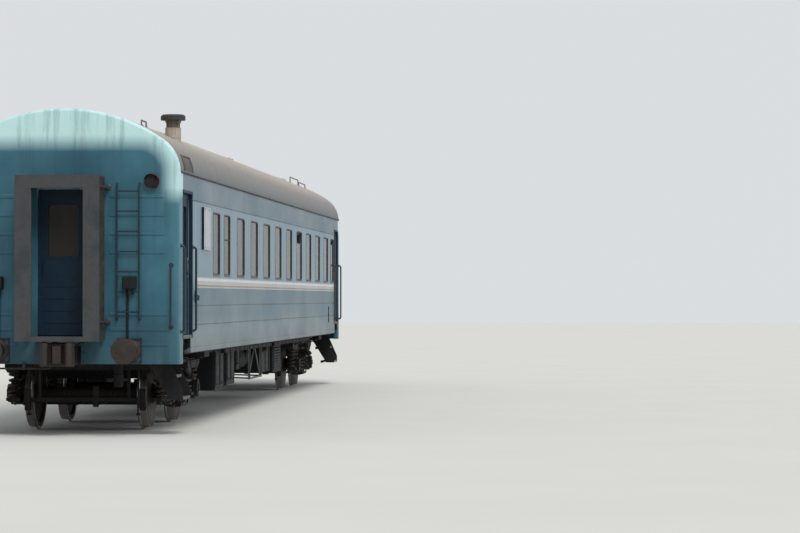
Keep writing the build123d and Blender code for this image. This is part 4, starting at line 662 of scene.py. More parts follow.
def makeWindowBeads(look):
    bottom, top, corner, recess = [windows[key] for key in ("bottom", "top", "corner", "recess")]
    middle, rim, sill = (bottom + top) / 2, look["width"], bottom - look["width"]
    face, rail = wallY - look["catchFace"], top - look["catchDrop"]
    for side, ys in sides:
        beads, liners, catches = [Shape(ys=ys) for _ in range(3)]
        for x, width in windowRow:
            size = (width, top - bottom)
            beads.ring((x, middle), grown(size, 2 * rim), size, corner + rim, (wallY, wallY + look["proud"]))
            liners.ring((x, middle), grown(size, -0.0006), grown(size, -2 * look["liner"]), corner,
                (wallY - recess, wallY + look["proud"] * 0.6))
            # a small ledge below sheds the rain
            beads.slab(x, width / 2, (wallY, wallY + look["lipDepth"]), (sill - look["lipHeight"], sill),
                0.002)
            for place in (x - width / 4, x + width / 4):
                catches.slab(place, look["catchHalf"], (face, face - 0.03),
                    (rail, rail + look["catchHeight"]), 0.004)
        beads.piece("window_beads_" + side, "beadPaint", "window_rubber")
        liners.piece("window_liners_" + side, "windowRubber", "window_rubber")
        catches.piece("window_catches_" + side, "brightMetal", "window_rubber")


makeWindowBeads(windowBead)
print("window beads made")

# doorways of the sides: trim on the wall, dark strips on the reveals as painted shade of the recess, a
# ribbed plate on the threshold
doorTrim = {"width": 0.034, "proud": 0.005, "shadeReveal": 0.004, "tread": 0.004, "ribs": 9}


def makeDoorwayTrim(look):
    trim, plates = Shape(), Shape()
    top, width, inner, outer = doorway["top"], look["width"], doorway["inner"], doorway["outer"]
    wall, out, deep, near = wallY, wallY + look["proud"], doorway["face"] + 0.008, wallY + 0.001
    low, high = doorway["face"] + 0.004, wallY - 0.002
    for end, xs, side, ys in corners:
        trim.at(xs, ys)
        plates.at(xs, ys)
        for jamb, turn in ((inner, -1), (outer, 1)):
            trim.box((jamb, wall, floorTop - 0.04), (jamb + turn * width, out, top + width), 0.002)
            # painted shade: dark strips on the jamb faces and under the lintel
            trim.box((jamb, deep, floorTop), (jamb - turn * look["shadeReveal"], near, top), 0.001)
        trim.box((inner - width, wall, top), (outer + width, out, top + width), 0.002)
        trim.box((inner, deep, top), (outer, near, top - look["shadeReveal"]), 0.001)
        for rib in range(look["ribs"]):
            y = low + (high - low) * (rib + 0.5) / look["ribs"]
            plates.box((inner + 0.03, y - 0.0015, floorTop), (outer - 0.06, y + 0.0015,
                floorTop + look["tread"]), 0.001)
    trim.piece("doorway_trim", "doorPaint", "door_paint")
    plates.piece("threshold_ribs", "brightMetal", "floor_steel")


makeDoorwayTrim(doorTrim)

# doors: pane beads and pressed ribs on both faces; the side doors have a lock and a kick plate
doorDress = {"bead": 0.020, "proud": 0.006, "ribWidth": 0.030, "ribHeights": (1.50, 1.66, 1.82, 1.98),
    "ribHalf": 0.30, "endRibHalf": 0.27, "kick": (10.68, 11.44, 1.35, 1.46), "lockX": 10.72,
    "lockZ": (2.195, 2.385), "endGlassY": 0.0075, "leaf": 0.06}


def makeSideDoorDress(look):
    lockX, (kick0, kick1, kickBottom, kickTop) = look["lockX"], look["kick"]
    for end, xs, side, ys in corners:
        dress, metal = Shape(xs, ys), Shape(xs, ys)
        for face, out in ((doorway["face"], 1), (doorway["face"] - 0.04, -1)):
            far, plate = face + out * look["proud"], face + out * 0.004
            dress.ring((doorway["glassX"], doorway["glassZ"]), grown(doorway["glass"], 2 * look["bead"]),
                grown(doorway["glass"], -0.016), 0.06, (face, far))
            for z in look["ribHeights"]:
                dress.slab(doorway["glassX"], look["ribHalf"], (face, far), (z, z + look["ribWidth"]), 0.004)
            metal.slab(lockX, 0.03, (face, plate), look["lockZ"], 0.002)
            metal.lathe([(0, 0), (0.014, 0), (0.014, 0.006), (0.006, 0.009), (0, 0.009)],
                (lockX, face, 2.13), 16, (0, out, 0))
            metal.bolts([(lockX + dx, plate, z) for dx in (-0.02, 0.02) for z in (2.21, 2.37)], 0.007,
                (0, out, 0))
        dress.box((kick0, doorway["face"], kickBottom), (kick1, doorway["face"] + 0.003, kickTop), 0.001)
        body = f"door_{end}_{side}"
        dress.piece(f"side_door_ribs_{end}_{side}", "doorPaint", "door_paint", body)
        metal.piece(f"side_door_lock_{end}_{side}", "brightMetal", "door_paint", body)


def makeEndDoorDress(look):
    for end, xs in ends:
        dress = Shape(xs)
        for out in (1, -1):
            near = wallX - look["leaf"] + out * 0.02
            depths = (near, near + out * look["proud"])
            dress.ring((-xs * look["endGlassY"], doorway["glassZ"]),
                grown(doorway["glass"], 2 * look["bead"]), grown(doorway["glass"], -0.016), 0.06, depths,
                across=True)
            for z in look["ribHeights"]:
                dress.box((depths[0], -look["endRibHalf"], z), (depths[1], look["endRibHalf"],
                    z + look["ribWidth"]), 0.004)
        dress.piece(f"end_door_ribs_{end}", "doorPaint", "door_paint", f"gangway_door_{end}")


makeSideDoorDress(doorDress)
makeEndDoorDress(doorDress)
print("door pieces made")

# handrail flanges, the lamp bracket, the board's frame and the filler's nozzle
railMount = {"heights": (1.388, 2.528), "places": (10.595, 11.70), "flange": 0.034, "thick": 0.009,
    "boltAside": 0.026}


def makeRailFlanges(look):
    flanges, bolts = Shape(), Shape()
    thick = look["thick"]
    for end, xs, side, ys in corners:
        flanges.at(xs, ys)
        bolts.at(xs, ys)
        for x, z in [(x, z) for x in look["places"] for z in look["heights"]]:
            flanges.lathe([(0.017, 0), (look["flange"], 0), (look["flange"], thick * 0.6), (0.022, thick),
                (0.018, thick * 2.4)], (x, wallY, z), 20)
            bolts.bolts([(x + dx, wallY + thick * 0.6, z) for dx in (-look["boltAside"], look["boltAside"])],
                0.008)
    flanges.piece("handrail_flanges", "railPaint", "rail_paint")
    bolts.piece("handrail_bolts", "boltSteel", "rail_paint")


makeRailFlanges(railMount)

lampBracket = {"x": -10.34, "z": 1.85, "plateHalf": (0.05, 0.08), "arm": 0.030, "cup": 0.030}


def makeLampBracket(look):
    bracket = Shape(ys=-1)
    x, z, cup, (wide, tall) = look["x"], look["z"], look["cup"], look["plateHalf"]
    plate, arm = wallY + 0.008, wallY + look["arm"]
    bracket.slab(x, wide, (wallY, plate), (z - tall, z + tall))
    bracket.bar([(x, wallY, z + 0.03), (x, arm, z + 0.03), (x, arm, z - 0.05)], 0.012, 0.02)
    bracket.lathe([(0.02, -0.05), (cup, -0.04), (cup, 0.02), (cup - 0.006, 0.02), (cup - 0.008, -0.03),
        (0, -0.03)], (x, arm, z), 20, upward)
    bracket.bolts([(x + dx, plate, z + dz) for dx in (-0.035, 0.035) for dz in (-0.06, 0.06)], 0.01)
    bracket.piece("lamp_bracket", "railPaint", "rail_paint")


makeLampBracket(lampBracket)

boardFrame = {"x": -9.33, "z": 2.808, "half": (0.33, 0.28), "face": 0.03, "rim": 0.018, "clipHalf": 0.025,
    "clipAside": 0.22}


# four strips round a rectangle of half sizes about x and z, set outside it
def rimStrips(shape, x, z, half, rim, depths, bevel):
    wide, tall = half
    for turn in (-1, 1):
        shape.box((x + turn * wide, depths[0], z - tall), (x + turn * (wide + rim), depths[1], z + tall),
            bevel)
        shape.slab(x, wide + rim, depths, (z + turn * tall, z + turn * (tall + rim)), bevel)


def makeBoardFrame(look):
    board, edge = Shape(ys=-1), Shape(ys=-1)
    x, z, rim, front, (wide, tall) = look["x"], look["z"], look["rim"], wallY + look["face"], look["half"]
    rimStrips(board, x, z, look["half"], rim, (wallY, front + 0.006), 0.003)
    for place in (x - look["clipAside"], x + look["clipAside"]):
        for turn in (-1, 1):
            board.slab(place, look["clipHalf"], (front + 0.010, front),
                (z + turn * tall, z + turn * (tall - 0.03)))
    board.piece("board_frame", "boardWhite", "board_white")
    left = x - wide - rim
    # painted shadow: a dark strip down the board's front edge
    edge.box((left - 0.002, wallY, z - tall - rim), (left - 0.012, front + 0.004, z + tall + rim))
    edge.piece("board_shadow_strip", "frameBlack", "underframe_black")


makeBoardFrame(boardFrame)

fillerLook = {"x": 9.4, "z": 1.493, "size": (0.17, 0.33), "depth": 0.025}


def makeFillers(look):
    fillers = Shape()
    x, z, back = look["x"], look["z"], wallY - look["depth"]
    for side, ys in sides:
        fillers.at(ys=ys)
        fillers.ring((x, z), look["size"], grown(look["size"], -0.02), 0.012, (back, wallY + 0.003))
        fillers.slab(x, 0.074, (back, back + 0.003), (z - 0.154, z + 0.154), 0.001)
        for rise in (-0.08, 0.08):
            fillers.lathe([(0, 0), (0.040, 0), (0.040, 0.010), (0.030, 0.012), (0.030, 0.022),
                (0.012, 0.023), (0, 0.023)], (x, back, z + rise), 20)
    fillers.piece("filler_caps", "frameBlack", "underframe_black")


makeFillers(fillerLook)
print("side fittings made")

# roof: seam straps, gutter lip and clips, hatches, grab frames, stack bands, intake rims
roofLook = {"strapStep": 0.8785, "half": 0.010, "lift": 0.0022, "sink": -0.002, "steps": 15, "straps": 13,
    "end": 11.70, "clipStep": 1.757, "clips": 6, "clipX": 0.4, "clipOut": 0.018, "clipHeight": 0.026}


def makeRoofStraps(look):
    straps, clips = Shape(), Shape()
    half, steps = look["half"], look["steps"]
    halves = [(-1, step) for step in range(steps)] + [(1, step) for step in range(steps, -1, -1)]
    for number in range(-look["straps"], look["straps"] + 1):
        x = number * look["strapStep"]
        rings = []
        for ys, step in halves:
            low, high = [roofPoint(0.03 + 0.97 * step / steps, lift)
                for lift in (look["sink"], look["lift"])]
            rings.append([(x + dx, ys * y, z) for dx, (y, z) in ((-half, low), (-half * 0.8, high),
                (half * 0.8, high), (half, low))])
        straps.skin(rings)
    for side, ys in sides:
        clips.at(ys=ys)
        for number in range(-look["clips"], look["clips"] + 1):
            clips.slab(number * look["clipStep"] + look["clipX"], 0.012,
                (wallY - 0.002, wallY + look["clipOut"]), (eaves - 0.006, eaves + look["clipHeight"]), 0.002)
        clips.slab(0.0, look["end"], (wallY + 0.010, wallY + 0.016), (eaves + 0.029, eaves + 0.034), 0.001)
    straps.piece("roof_straps", "roofPaint", "roof_paint")
    clips.piece("gutter_lip", "roofPaint", "roof_paint")


makeRoofStraps(roofLook)

hatchLook = {"places": [(-7.3, -0.45), (-4.4, 0.45), (0.1, -0.45), (4.4, 0.45), (8.6, -0.45)],
    "half": (0.31, 0.25), "lift": 0.020, "sink": 0.004, "hinge": 0.186,
    "frames": [(8.95, 1.55, 1.25), (10.50, 1.30, 0.8), (-10.6, 0.40, 0.8)], "frameY": -0.88, "rod": 0.011,
    "rodHeight": 0.085}


def roofHeight(y):
    low, high = 0.0, 1.0
    for _ in range(30):
        middle = (low + high) / 2
        if roofPoint(middle)[0] > abs(y):
            low = middle
        else:
            high = middle
    return roofPoint(low)[1]


def makeRoofHatches(look):
    lids, rods = Shape(), Shape()
    half, width = look["half"]
    for x, y in look["places"]:
        rings = []
        for across in [y + width * (step / 4 - 1) for step in range(9)]:
            low, high = roofHeight(across) - look["sink"], roofHeight(across) + look["lift"]
            rings.append([(x + dx, across, z) for dx, z in ((-half, low), (0.012 - half, high),
                (half - 0.012, high), (half, low))])
        lids.skin(rings)
        for hinge in (x - look["hinge"], x + look["hinge"]):
            z = roofHeight(y - width)
            lids.slab(hinge, 0.03, (y - width - 0.02, y - width + 0.03), (z - 0.01, z + 0.026))
    # low grab frames, two near the rear end and a short one by the stack
    y, rod = look["frameY"], look["rod"]
    base = roofHeight(y)
    for x, length, rise in look["frames"]:
        start, stop, top = x - length / 2, x + length / 2, base + look["rodHeight"] * rise
        for foot in (start, stop):
            rods.bar([(foot, y, base - 0.01), (foot, y, top)], rod)
            rods.lathe([(0, 0), (0.03, 0), (0.03, 0.006), (0.012, 0.012)], (foot, y, base - 0.002), 14,
                upward)
        rods.bar([(start, y, top), (stop, y, top)], rod)
    lids.piece("roof_hatches", "roofPaint", "roof_paint")
    rods.piece("roof_rods", "ventSteel", "vent_steel")


makeRoofHatches(hatchLook)

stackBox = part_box("roof_stack")
stackLook = {"x": (stackBox[0][0] + stackBox[1][0]) / 2, "y": (stackBox[0][1] + stackBox[1][1]) / 2,
    "bands": ((0.335, 0.114, 0.020), (0.205, 0.114, 0.018), (0.10, 0.101, 0.010)),
    "stays": ((0.135, 0.030), (0.135, 0.10), (0.09, 0.15))}


def makeStackDetail(look):
    bands = Shape()
    x, y, top = look["x"], look["y"], stackBox[1][2]
    for drop, radius, height in look["bands"]:
        bands.lathe(hoop(radius, 0.012, height, 0.002), (x, y, top - drop), 32, upward)
    for u, v in circle(1, 4, 45):
        bands.bar([(x + reach * u, y + reach * v, top - drop) for reach, drop in look["stays"]], 0.006, 0.02,
            8)
    bands.piece("stack_bands", "stackSteel", "stack_steel")


makeStackDetail(stackLook)

intakeLook = {"from": -11.38, "to": -10.61, "rim": 0.03, "lift": 0.016, "sink": -0.002,
    "angles": (2.0, 25.5)}


def makeIntakeRims(look):
    rims = Shape()
    start, stop, rim = look["from"], look["to"], look["rim"]
    low, high = [math.radians(angle) * shoulder["radius"] / roofArc for angle in look["angles"]]

    # one corner of a rim: the place on the roof's arc, and whether it lies on the sheet or above it
    def corner(x, share, lifted):
        return (x, *roofPoint(share, look["lift"] if lifted else look["sink"]))
    for side, ys in sides:
        rims.at(ys=ys)
        for x in (start, stop):
            rims.skin([[corner(x, share, 0), corner(x, share, 1), corner(x + rim, share, 1),
                corner(x + rim, share, 0)] for share in [low + (high - low) * step / 6
                for step in range(7)]])
        for share in (low, high):
            rims.skin([[corner(x, share, 0), corner(x, share, 1), corner(x, share + 0.01, 1),
                corner(x, share + 0.01, 0)] for x in (start, stop + rim)])
    rims.piece("intake_rims", "ventSteel", "vent_steel")


makeIntakeRims(intakeLook)
print("roof pieces made")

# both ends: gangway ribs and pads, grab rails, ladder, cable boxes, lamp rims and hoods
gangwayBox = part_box("gangway_frame_rear")
gangwayLook = {"face": gangwayBox[1][0], "half": gangwayBox[1][1], "bottom": gangwayBox[0][2],
    "top": gangwayBox[1][2], "passage": 0.35, "passageTop": 3.278, "ribHalf": 0.011, "depth": 0.012,
    "ribs": (1.62, 2.10, 2.58, 3.06), "boltHeights": (1.32, 1.78, 2.25, 2.72, 3.19, 3.40),
    "arms": (1.52, 3.30)}


def makeGangwayDetail(look):
    face, half, rib = look["face"], look["half"], look["ribHalf"]
    back, armY = face - 0.06, half + 0.035
    behind = back - look["depth"]
    for end, xs in ends:
        ribs, pads = Shape(xs), Shape(xs)
        for ys in (-1, 1):
            ribs.at(xs, ys)
            pads.at(xs, ys)
            for y in (half - 0.03, half - 0.14):
                ribs.box((back, y - rib, look["bottom"] + 0.02), (behind, y + rib, look["top"] - 0.02))
            # rubbing strips beside the passage, set into the face
            pads.box((face - 0.052, look["passage"], 1.34), (face - 0.004, look["passage"] - 0.006,
                look["passageTop"]), 0.002)
            for z in look["ribs"]:
                ribs.box((back, half - 0.16, z), (behind, half - 0.01, z + 0.03))
            # sprung arms that hold the frame out from the end wall
            for z in look["arms"]:
                ribs.bar([(wallX + 0.002, armY, z), (face - 0.065, half - 0.012, z)], 0.014)
                ribs.lathe(stub(0.045, 0.012, 0.026, 0.020, 0.09), (wallX, armY, z), 20, lengthways)
        for y in [-0.30 + 0.075 * number for number in range(9)]:
            pads.box((wallX + 0.02, y - 0.004, floorTop), (face - 0.08, y + 0.004, floorTop + 0.003), 0.001)
        ribs.bolts([(back, y, z) for z in look["boltHeights"] for y in (-0.475, 0.475)], 0.014, (-1, 0, 0))
        ribs.piece("gangway_ribs_" + end, "gangwaySteel", "gangway_steel")
        pads.piece("gangway_pads_" + end, "floorSteel", "gangway_steel")


makeGangwayDetail(gangwayLook)

endLook = {"rail": (1.44, 1.45, 2.27), "out": 0.055, "ladder": (0.72, 1.02, 1.55, 3.35), "rungs": 7,
    "boxZ": 1.95, "ribRows": [(4, 2.42, 0.248, 1.34), (3, 1.20, 0.20, 1.40)], "ribInner": 0.62,
    "ribHeight": 0.045}


def makeEndFittings(look):
    wall, out, z = wallX, wallX + look["out"], look["boxZ"]
    railY, railLow, railHigh = look["rail"]
    inner, outer, low, high = look["ladder"]

    # a rail that leaves the wall, runs upright and returns to it
    def upright(shape, y, low, high, radius):
        shape.bar([(wall, y, low), (out, y, low), (out, y, high), (wall, y, high)], radius, 0.03)
    for end, xs in ends:
        rails, boxes, ribs = [Shape(xs) for _ in range(3)]
        for ys in (-1, 1):
            for shape in (rails, boxes, ribs):
                shape.at(xs, ys)
            upright(rails, railY, railLow, railHigh, 0.013)
            for height in (railLow, railHigh):
                rails.lathe([(0.013, 0), (0.030, 0), (0.030, 0.008), (0.016, 0.012)], (wall, railY, height),
                    16, lengthways)
            # cable sockets with hinged lids
            boxes.box((wall, 0.80, z), (wall + 0.10, 0.98, z + 0.17), 0.012)
            boxes.box((wall + 0.10, 0.81, z + 0.01), (wall + 0.115, 0.97, z + 0.16), 0.005)
            boxes.lathe(stub(0.045, 0.05, 0.038, 0.055, 0.08), (wall + 0.05, 0.89, z - 0.075), 20, upward)
            boxes.bar([(wall + 0.03, 0.86, z), (wall + 0.03, 0.86, 1.30)], 0.016)
            # pressed ribs of the end sheet
            for count, start, step, reach in look["ribRows"]:
                for height in [start + step * number for number in range(count)]:
                    ribs.box((wall, look["ribInner"], height), (wall + 0.010, reach,
                        height + look["ribHeight"]), 0.008)
        # the ladder stands on the right seen from outside each end
        rails.at(xs, xs)
        for y in (inner, outer):
            upright(rails, y, low, high, 0.012)
        for number in range(look["rungs"]):
            height = low + 0.10 + (high - low - 0.2) * number / (look["rungs"] - 1)
            rails.bar([(out, inner, height), (out, outer, height)], 0.010)
        rails.piece("end_rails_" + end, "railPaint", "rail_paint")
        boxes.piece("cable_sockets_" + end, "boxGrey", "box_grey")
        ribs.piece("end_ribs_" + end, "endPaint", "end_paint")


makeEndFittings(endLook)

lampLook = {"places": [(-1.18, 3.378), (1.18, 3.378), (1.18, 1.588)], "front": 0.066, "radius": 0.078,
    "rim": 0.092, "boltX": 0.014}


def makeLampDetail(look):
    rims = Shape()
    radius, rim, front = look["radius"], look["rim"], wallX + look["front"]
    for end, xs in ends:
        rims.at(xs)
        for y, z in look["places"]:
            rims.lathe([(radius, -0.010), (rim, -0.010), (rim, 0.006), (radius, 0.010),
                (radius - 0.006, 0.004)], (front, y, z), 32, lengthways)
            rims.bolts([(wallX + look["boltX"], y + u, z + v) for u, v in circle(rim, 4, 45)], 0.007,
                lengthways)
            # rain hood over the upper half
            rings = []
            for turn in [math.radians(15 + 12.5 * step) for step in range(13)]:
                u, v = math.cos(turn), math.sin(turn)
                lip = front + 0.018 + 0.03 * v
                rings.append([(x, y + reach * u, z + reach * v) for x, reach in ((front - 0.010, 0.093),
                    (lip, 0.095), (lip, 0.098), (front - 0.010, 0.098))])
            rims.skin(rings)
    rims.piece("lamp_rims", "frameBlack", "underframe_black")


makeLampDetail(lampLook)

bufferLook = {"y": 0.885, "z": 1.138, "plate": (0.33, 0.33), "inner": (0.296, 0.296), "thick": 0.022,
    "bolt": 0.1545, "collar": 0.27}


def makeBufferDetail(look):
    plates = Shape()
    y, z, wall, bolt = look["y"], look["z"], wallX, look["bolt"]
    for end, xs in ends:
        for ys in (-1, 1):
            plates.at(xs, ys)
            face = wall + look["thick"]
            plates.ring((y, z), look["plate"], look["inner"], 0.04, (wall, face), across=True)
            plates.bolts([(face, y + dy, z + dz) for dy in (-bolt, bolt) for dz in (-bolt, bolt)], 0.016,
                lengthways)
            plates.lathe(hoop(0.112, 0.018, 0.028, 0.004), (wall + look["collar"], y, z), 32, lengthways)
            plates.bar([(wall + 0.03, y, z - 0.120), (wall + 0.03, y, z - 0.160), (wall, y, z - 0.17)],
                0.010, 0.02)
    plates.piece("buffer_plates", "couplerIron", "coupler_iron")


makeBufferDetail(bufferLook)

couplerLook = {"z": 1.088, "rodZ": 0.90, "leverY": 1.30, "brackets": (0.52, 1.16), "head": 0.468,
    "linkBolts": (-0.09, 0.03, 0.15)}


def makeCouplerDetail(look):
    wall, head, z = wallX, wallX + look["head"], look["z"]
    rodZ, leverY = look["rodZ"], look["leverY"]
    rod, crank = wall + 0.05, head - 0.16
    for end, xs in ends:
        gear = Shape(xs)
        # centring beam under the shank, hung from the end wall by two links
        gear.box((wall + 0.035, -0.20, z - 0.135), (wall + 0.105, 0.20, z - 0.092), 0.008)
        for ys in (-1, 1):
            gear.at(xs, ys)
            gear.bar([(wall + 0.04, 0.275, z + 0.165), (wall + 0.07, 0.19, z + 0.12),
                (wall + 0.07, 0.175, z - 0.10)], 0.012, 0.03)
            gear.bolts([(wall + 0.030, 0.275, z + dz) for dz in look["linkBolts"]], 0.014, lengthways)
        # release rod along the end with its lever, and the crank and pin on the head
        gear.at(xs, -xs)
        gear.bar([(rod, 0.12, z + 0.20), (rod, 0.16, rodZ), (rod, leverY, rodZ), (rod, leverY, rodZ + 0.24)],
            0.013, 0.05)
        for y in look["brackets"]:
            gear.box((wall, y - 0.02, rodZ - 0.02), (wall + 0.07, y + 0.02, rodZ + 0.08), 0.006)
        gear.lathe(stub(0.03, 0.012, 0.018, 0.016, 0.03), (crank, 0.05, z + 0.155), 20, upward)
        gear.bar([(crank, 0.05, z + 0.178), (head - 0.30, 0.10, z + 0.178), (rod, 0.12, z + 0.20)], 0.009,
            0.03)
        for step in range(3):
            gear.lathe(hoop(0.020, 0.008, 0.008), (head - 0.07 - 0.027 * step, 0, z + 0.155), 14, upward)
        gear.piece("coupler_gear_" + end, "couplerIron", "coupler_iron")


makeCouplerDetail(couplerLook)
print("end pieces made")

# under the floor: what is bolted to each box, by x, inner and outer y, bottom, sides and style
boxRows = [
    ((-5.720, -4.650), 0.48, 1.20, 0.418, (-1, 1), "doors"),
    ((-4.350, -3.340), 0.48, 1.20, 0.458, (-1, 1), "doors"),
    ((2.280, 3.520), 0.48, 1.20, 0.488, (-1, 1), "louvres"),
    ((0.700, 2.200), 0.60, 1.15, 0.528, (-1,), "tank"),
    ((-2.700, -2.250), 0.60, 1.15, 0.668, (-1,), "doors"),
    ((-2.700, -1.300), 0.60, 1.15, 0.588, (1,), "louvres"),
]
boxLook = {"frame": 0.035, "proud": 0.012, "inset": 0.05, "gap": 0.03, "hinge": 0.011, "slats": 9,
    "strapHalf": 0.025}


# a lid with a raised rim, two hinges and two wing latches
def doorPanel(plates, metal, x0, x1, z0, z1, face, look):
    out, rim = face + look["proud"], look["frame"]
    plates.box((x0, face, z0), (x1, out, z1), 0.004)
    low, high, left, right = z0 + rim, z1 - rim, x0 + rim, x1 - rim
    for start, stop in (((left, low), (right, low + 0.012)), ((left, high - 0.012), (right, high)),
            ((left, low), (left + 0.012, high)), ((right - 0.012, low), (right, high))):
        plates.box((start[0], out - 0.001, start[1]), (stop[0], out + 0.005, stop[1]), 0.002)
    for x in (x0 + (x1 - x0) * 0.2, x1 - (x1 - x0) * 0.2):
        metal.bar([(x - 0.03, out + 0.004, z1 + 0.004), (x + 0.03, out + 0.004, z1 + 0.004)], look["hinge"])
        metal.slab(x, 0.022, (out, out + 0.004), (z1 - 0.06, z1), 0.001)
        metal.bolts([(x, out + 0.004, z1 - 0.02), (x, out + 0.004, z1 - 0.045)], 0.006)
        metal.lathe(stub(0.016, 0.006, 0.008, 0.008, 0.022), (x, out, z0 + 0.035), 16)
        metal.slab(x, 0.024, (out + 0.018, out + 0.024), (z0 + 0.031, z0 + 0.039), 0.002)


def addDoors(plates, metal, x0, x1, inner, face, bottom, top, look):
    count, inset, gap = 2 if x1 - x0 > 0.8 else 1, look["inset"], look["gap"]
    wide = (x1 - x0 - 2 * inset - gap * (count - 1)) / count
    for start in [x0 + inset + number * (wide + gap) for number in range(count)]:
        doorPanel(plates, metal, start, start + wide, bottom + 0.05, top - 0.06, face, look)
    for x in (x0 + 0.02, x1 - 0.02):
        plates.slab(x, 0.012, (face, face + 0.007), (bottom, top), 0.002)


def addLouvres(plates, metal, x0, x1, inner, face, bottom, top, look):
    middle, inset = (x0 + x1) / 2, look["inset"]
    plates.box((x0 + inset, face, bottom + 0.04), (x1 - inset, face + 0.008, top - 0.05))
    for number in range(look["slats"]):
        z = bottom + 0.08 + (top - bottom - 0.18) * number / (look["slats"] - 1)
        for places in ((x0 + 0.10, middle - 0.03), (middle + 0.03, x1 - 0.10)):
            plates.skin([[(x, face + 0.006, z + 0.018), (x, face + 0.024, z - 0.004),
                (x, face + 0.021, z - 0.007), (x, face + 0.004, z + 0.012)] for x in places])
    for x in (x0 + inset + 0.015, middle, x1 - inset - 0.015):
        metal.bolts([(x, face + 0.008, bottom + 0.06 + (top - bottom - 0.13) * k / 4) for k in range(5)],
            0.007)


def addTank(plates, metal, x0, x1, inner, face, bottom, top, look):
    half, out, pipe = look["strapHalf"], face + 0.010, x1 - 0.35
    for x in (x0 + 0.20, (x0 + x1) / 2, x1 - 0.20):
        plates.slab(x, half, (face - 0.002, out), (bottom - 0.012, top))
        plates.slab(x, half, (inner, out), (bottom - 0.016, bottom - 0.006))
        metal.bolts([(x, out, top - 0.06), (x, out, bottom + 0.04)], 0.010)
    metal.lathe([(0, 0), (0.05, 0), (0.05, 0.02), (0.036, 0.026), (0.036, 0.05), (0.044, 0.052),
        (0.044, 0.075), (0, 0.078)], (x0 + 0.42, face, top - 0.16), 24, (0, 1, 0.35))
    metal.bar([(pipe, face - 0.1, bottom), (pipe, face - 0.1, bottom - 0.06),
        (pipe, face + 0.02, bottom - 0.06)], 0.014, 0.03)


# the styles take the same values, though only the tank reads inner
boxStyles = {"doors": addDoors, "louvres": addLouvres, "tank": addTank}


def makeBoxDetail(look):
    plates, metal = Shape(), Shape()
    top = frameZ
    for (x0, x1), inner, face, bottom, signs, style in boxRows:
        for ys in signs:
            plates.at(ys=ys)
            metal.at(ys=ys)
            # flange strips round the top and the bottom
            plates.box((x0 - 0.012, inner - 0.01, top - 0.030), (x1 + 0.012, face + 0.008, top - 0.006))
            plates.box((x0 - 0.004, inner - 0.004, bottom - 0.010), (x1 + 0.004, face + 0.004,
                bottom + 0.016))
            boxStyles[style](plates, metal, x0, x1, inner, face, bottom, top, look)
            # cable glands on the end of each box
            for y in (inner + 0.12, inner + 0.22, inner + 0.32):
                metal.lathe(stub(0.02, 0.012, 0.012, 0.016, 0.05), (x1, y, top - 0.12), 14, lengthways)
    plates.piece("box_plates", "boxGrey", "box_grey")
    metal.piece("box_fittings", "boltSteel", "box_grey")


makeBoxDetail(boxLook)

pipeLook = {"rows": [(1.245, 1.045, 0.021), (1.300, 1.040, 0.017), (1.345, 1.048, 0.014),
    (0.30, 1.040, 0.021), (0.36, 1.046, 0.014)], "ends": (8.05, 6.5), "clampStep": 0.8785, "jointStep": 2.9,
    "ducts": ((-6.45, -0.2), (0.2, 6.45)), "ductStep": 0.6}


def makePipes(look):
    pipes, clamps = Shape(), Shape()
    for ys in (-1, 1):
        pipes.at(ys=ys)
        clamps.at(ys=ys)
        for y, z, radius in look["rows"]:
            reach = look["ends"][y < 1]
            half = [(reach, y, z)]
            # the pipes by the sill turn in and up at both ends
            if y > 1.2:
                half = [(reach - 0.12, y, z), (reach, y, z + 0.02), (reach, y - 0.16, z + 0.09)]
            pipes.bar([(-x, y, z) for x, y, z in reversed(half)] + half, radius, 0.06)
            count = int(reach / look["clampStep"])
            for x in [number * look["clampStep"] + 0.05 for number in range(-count, count + 1)]:
                if abs(x) <= reach - 0.2:
                    clamps.slab(x, 0.014, (y - radius - 0.010, y + radius + 0.010),
                        (z - radius - 0.004, frameZ + 0.004))
            for number in range(-2, 3):
                pipes.lathe(hoop(radius * 1.5, radius * 0.5, 0.054, 0.004),
                    (number * look["jointStep"] + 0.6, y, z), 12, lengthways)
        # cable duct with its lid, between the boxes and the side sill
        for x0, x1 in look["ducts"]:
            clamps.box((x0, 1.395, 1.012), (x1, 1.455, 1.066), 0.004)
            clamps.box((x0, 1.391, 1.006), (x1, 1.459, 1.016), 0.002)
            for number in range(int((x1 - x0) / look["ductStep"]) + 1):
                x = x0 + 0.05 + number * look["ductStep"]
                clamps.box((x, 1.388, 1.002), (x + 0.03, 1.462, 1.070), 0.002)
    pipes.piece("side_pipes", "frameBlack", "underframe_black")
    clamps.piece("pipe_clamps", "frameBlack", "underframe_black")


makePipes(pipeLook)

cradleLook = {"from": -1.33, "to": 0.30, "y": 1.19, "bottom": 0.478, "bar": 0.035}


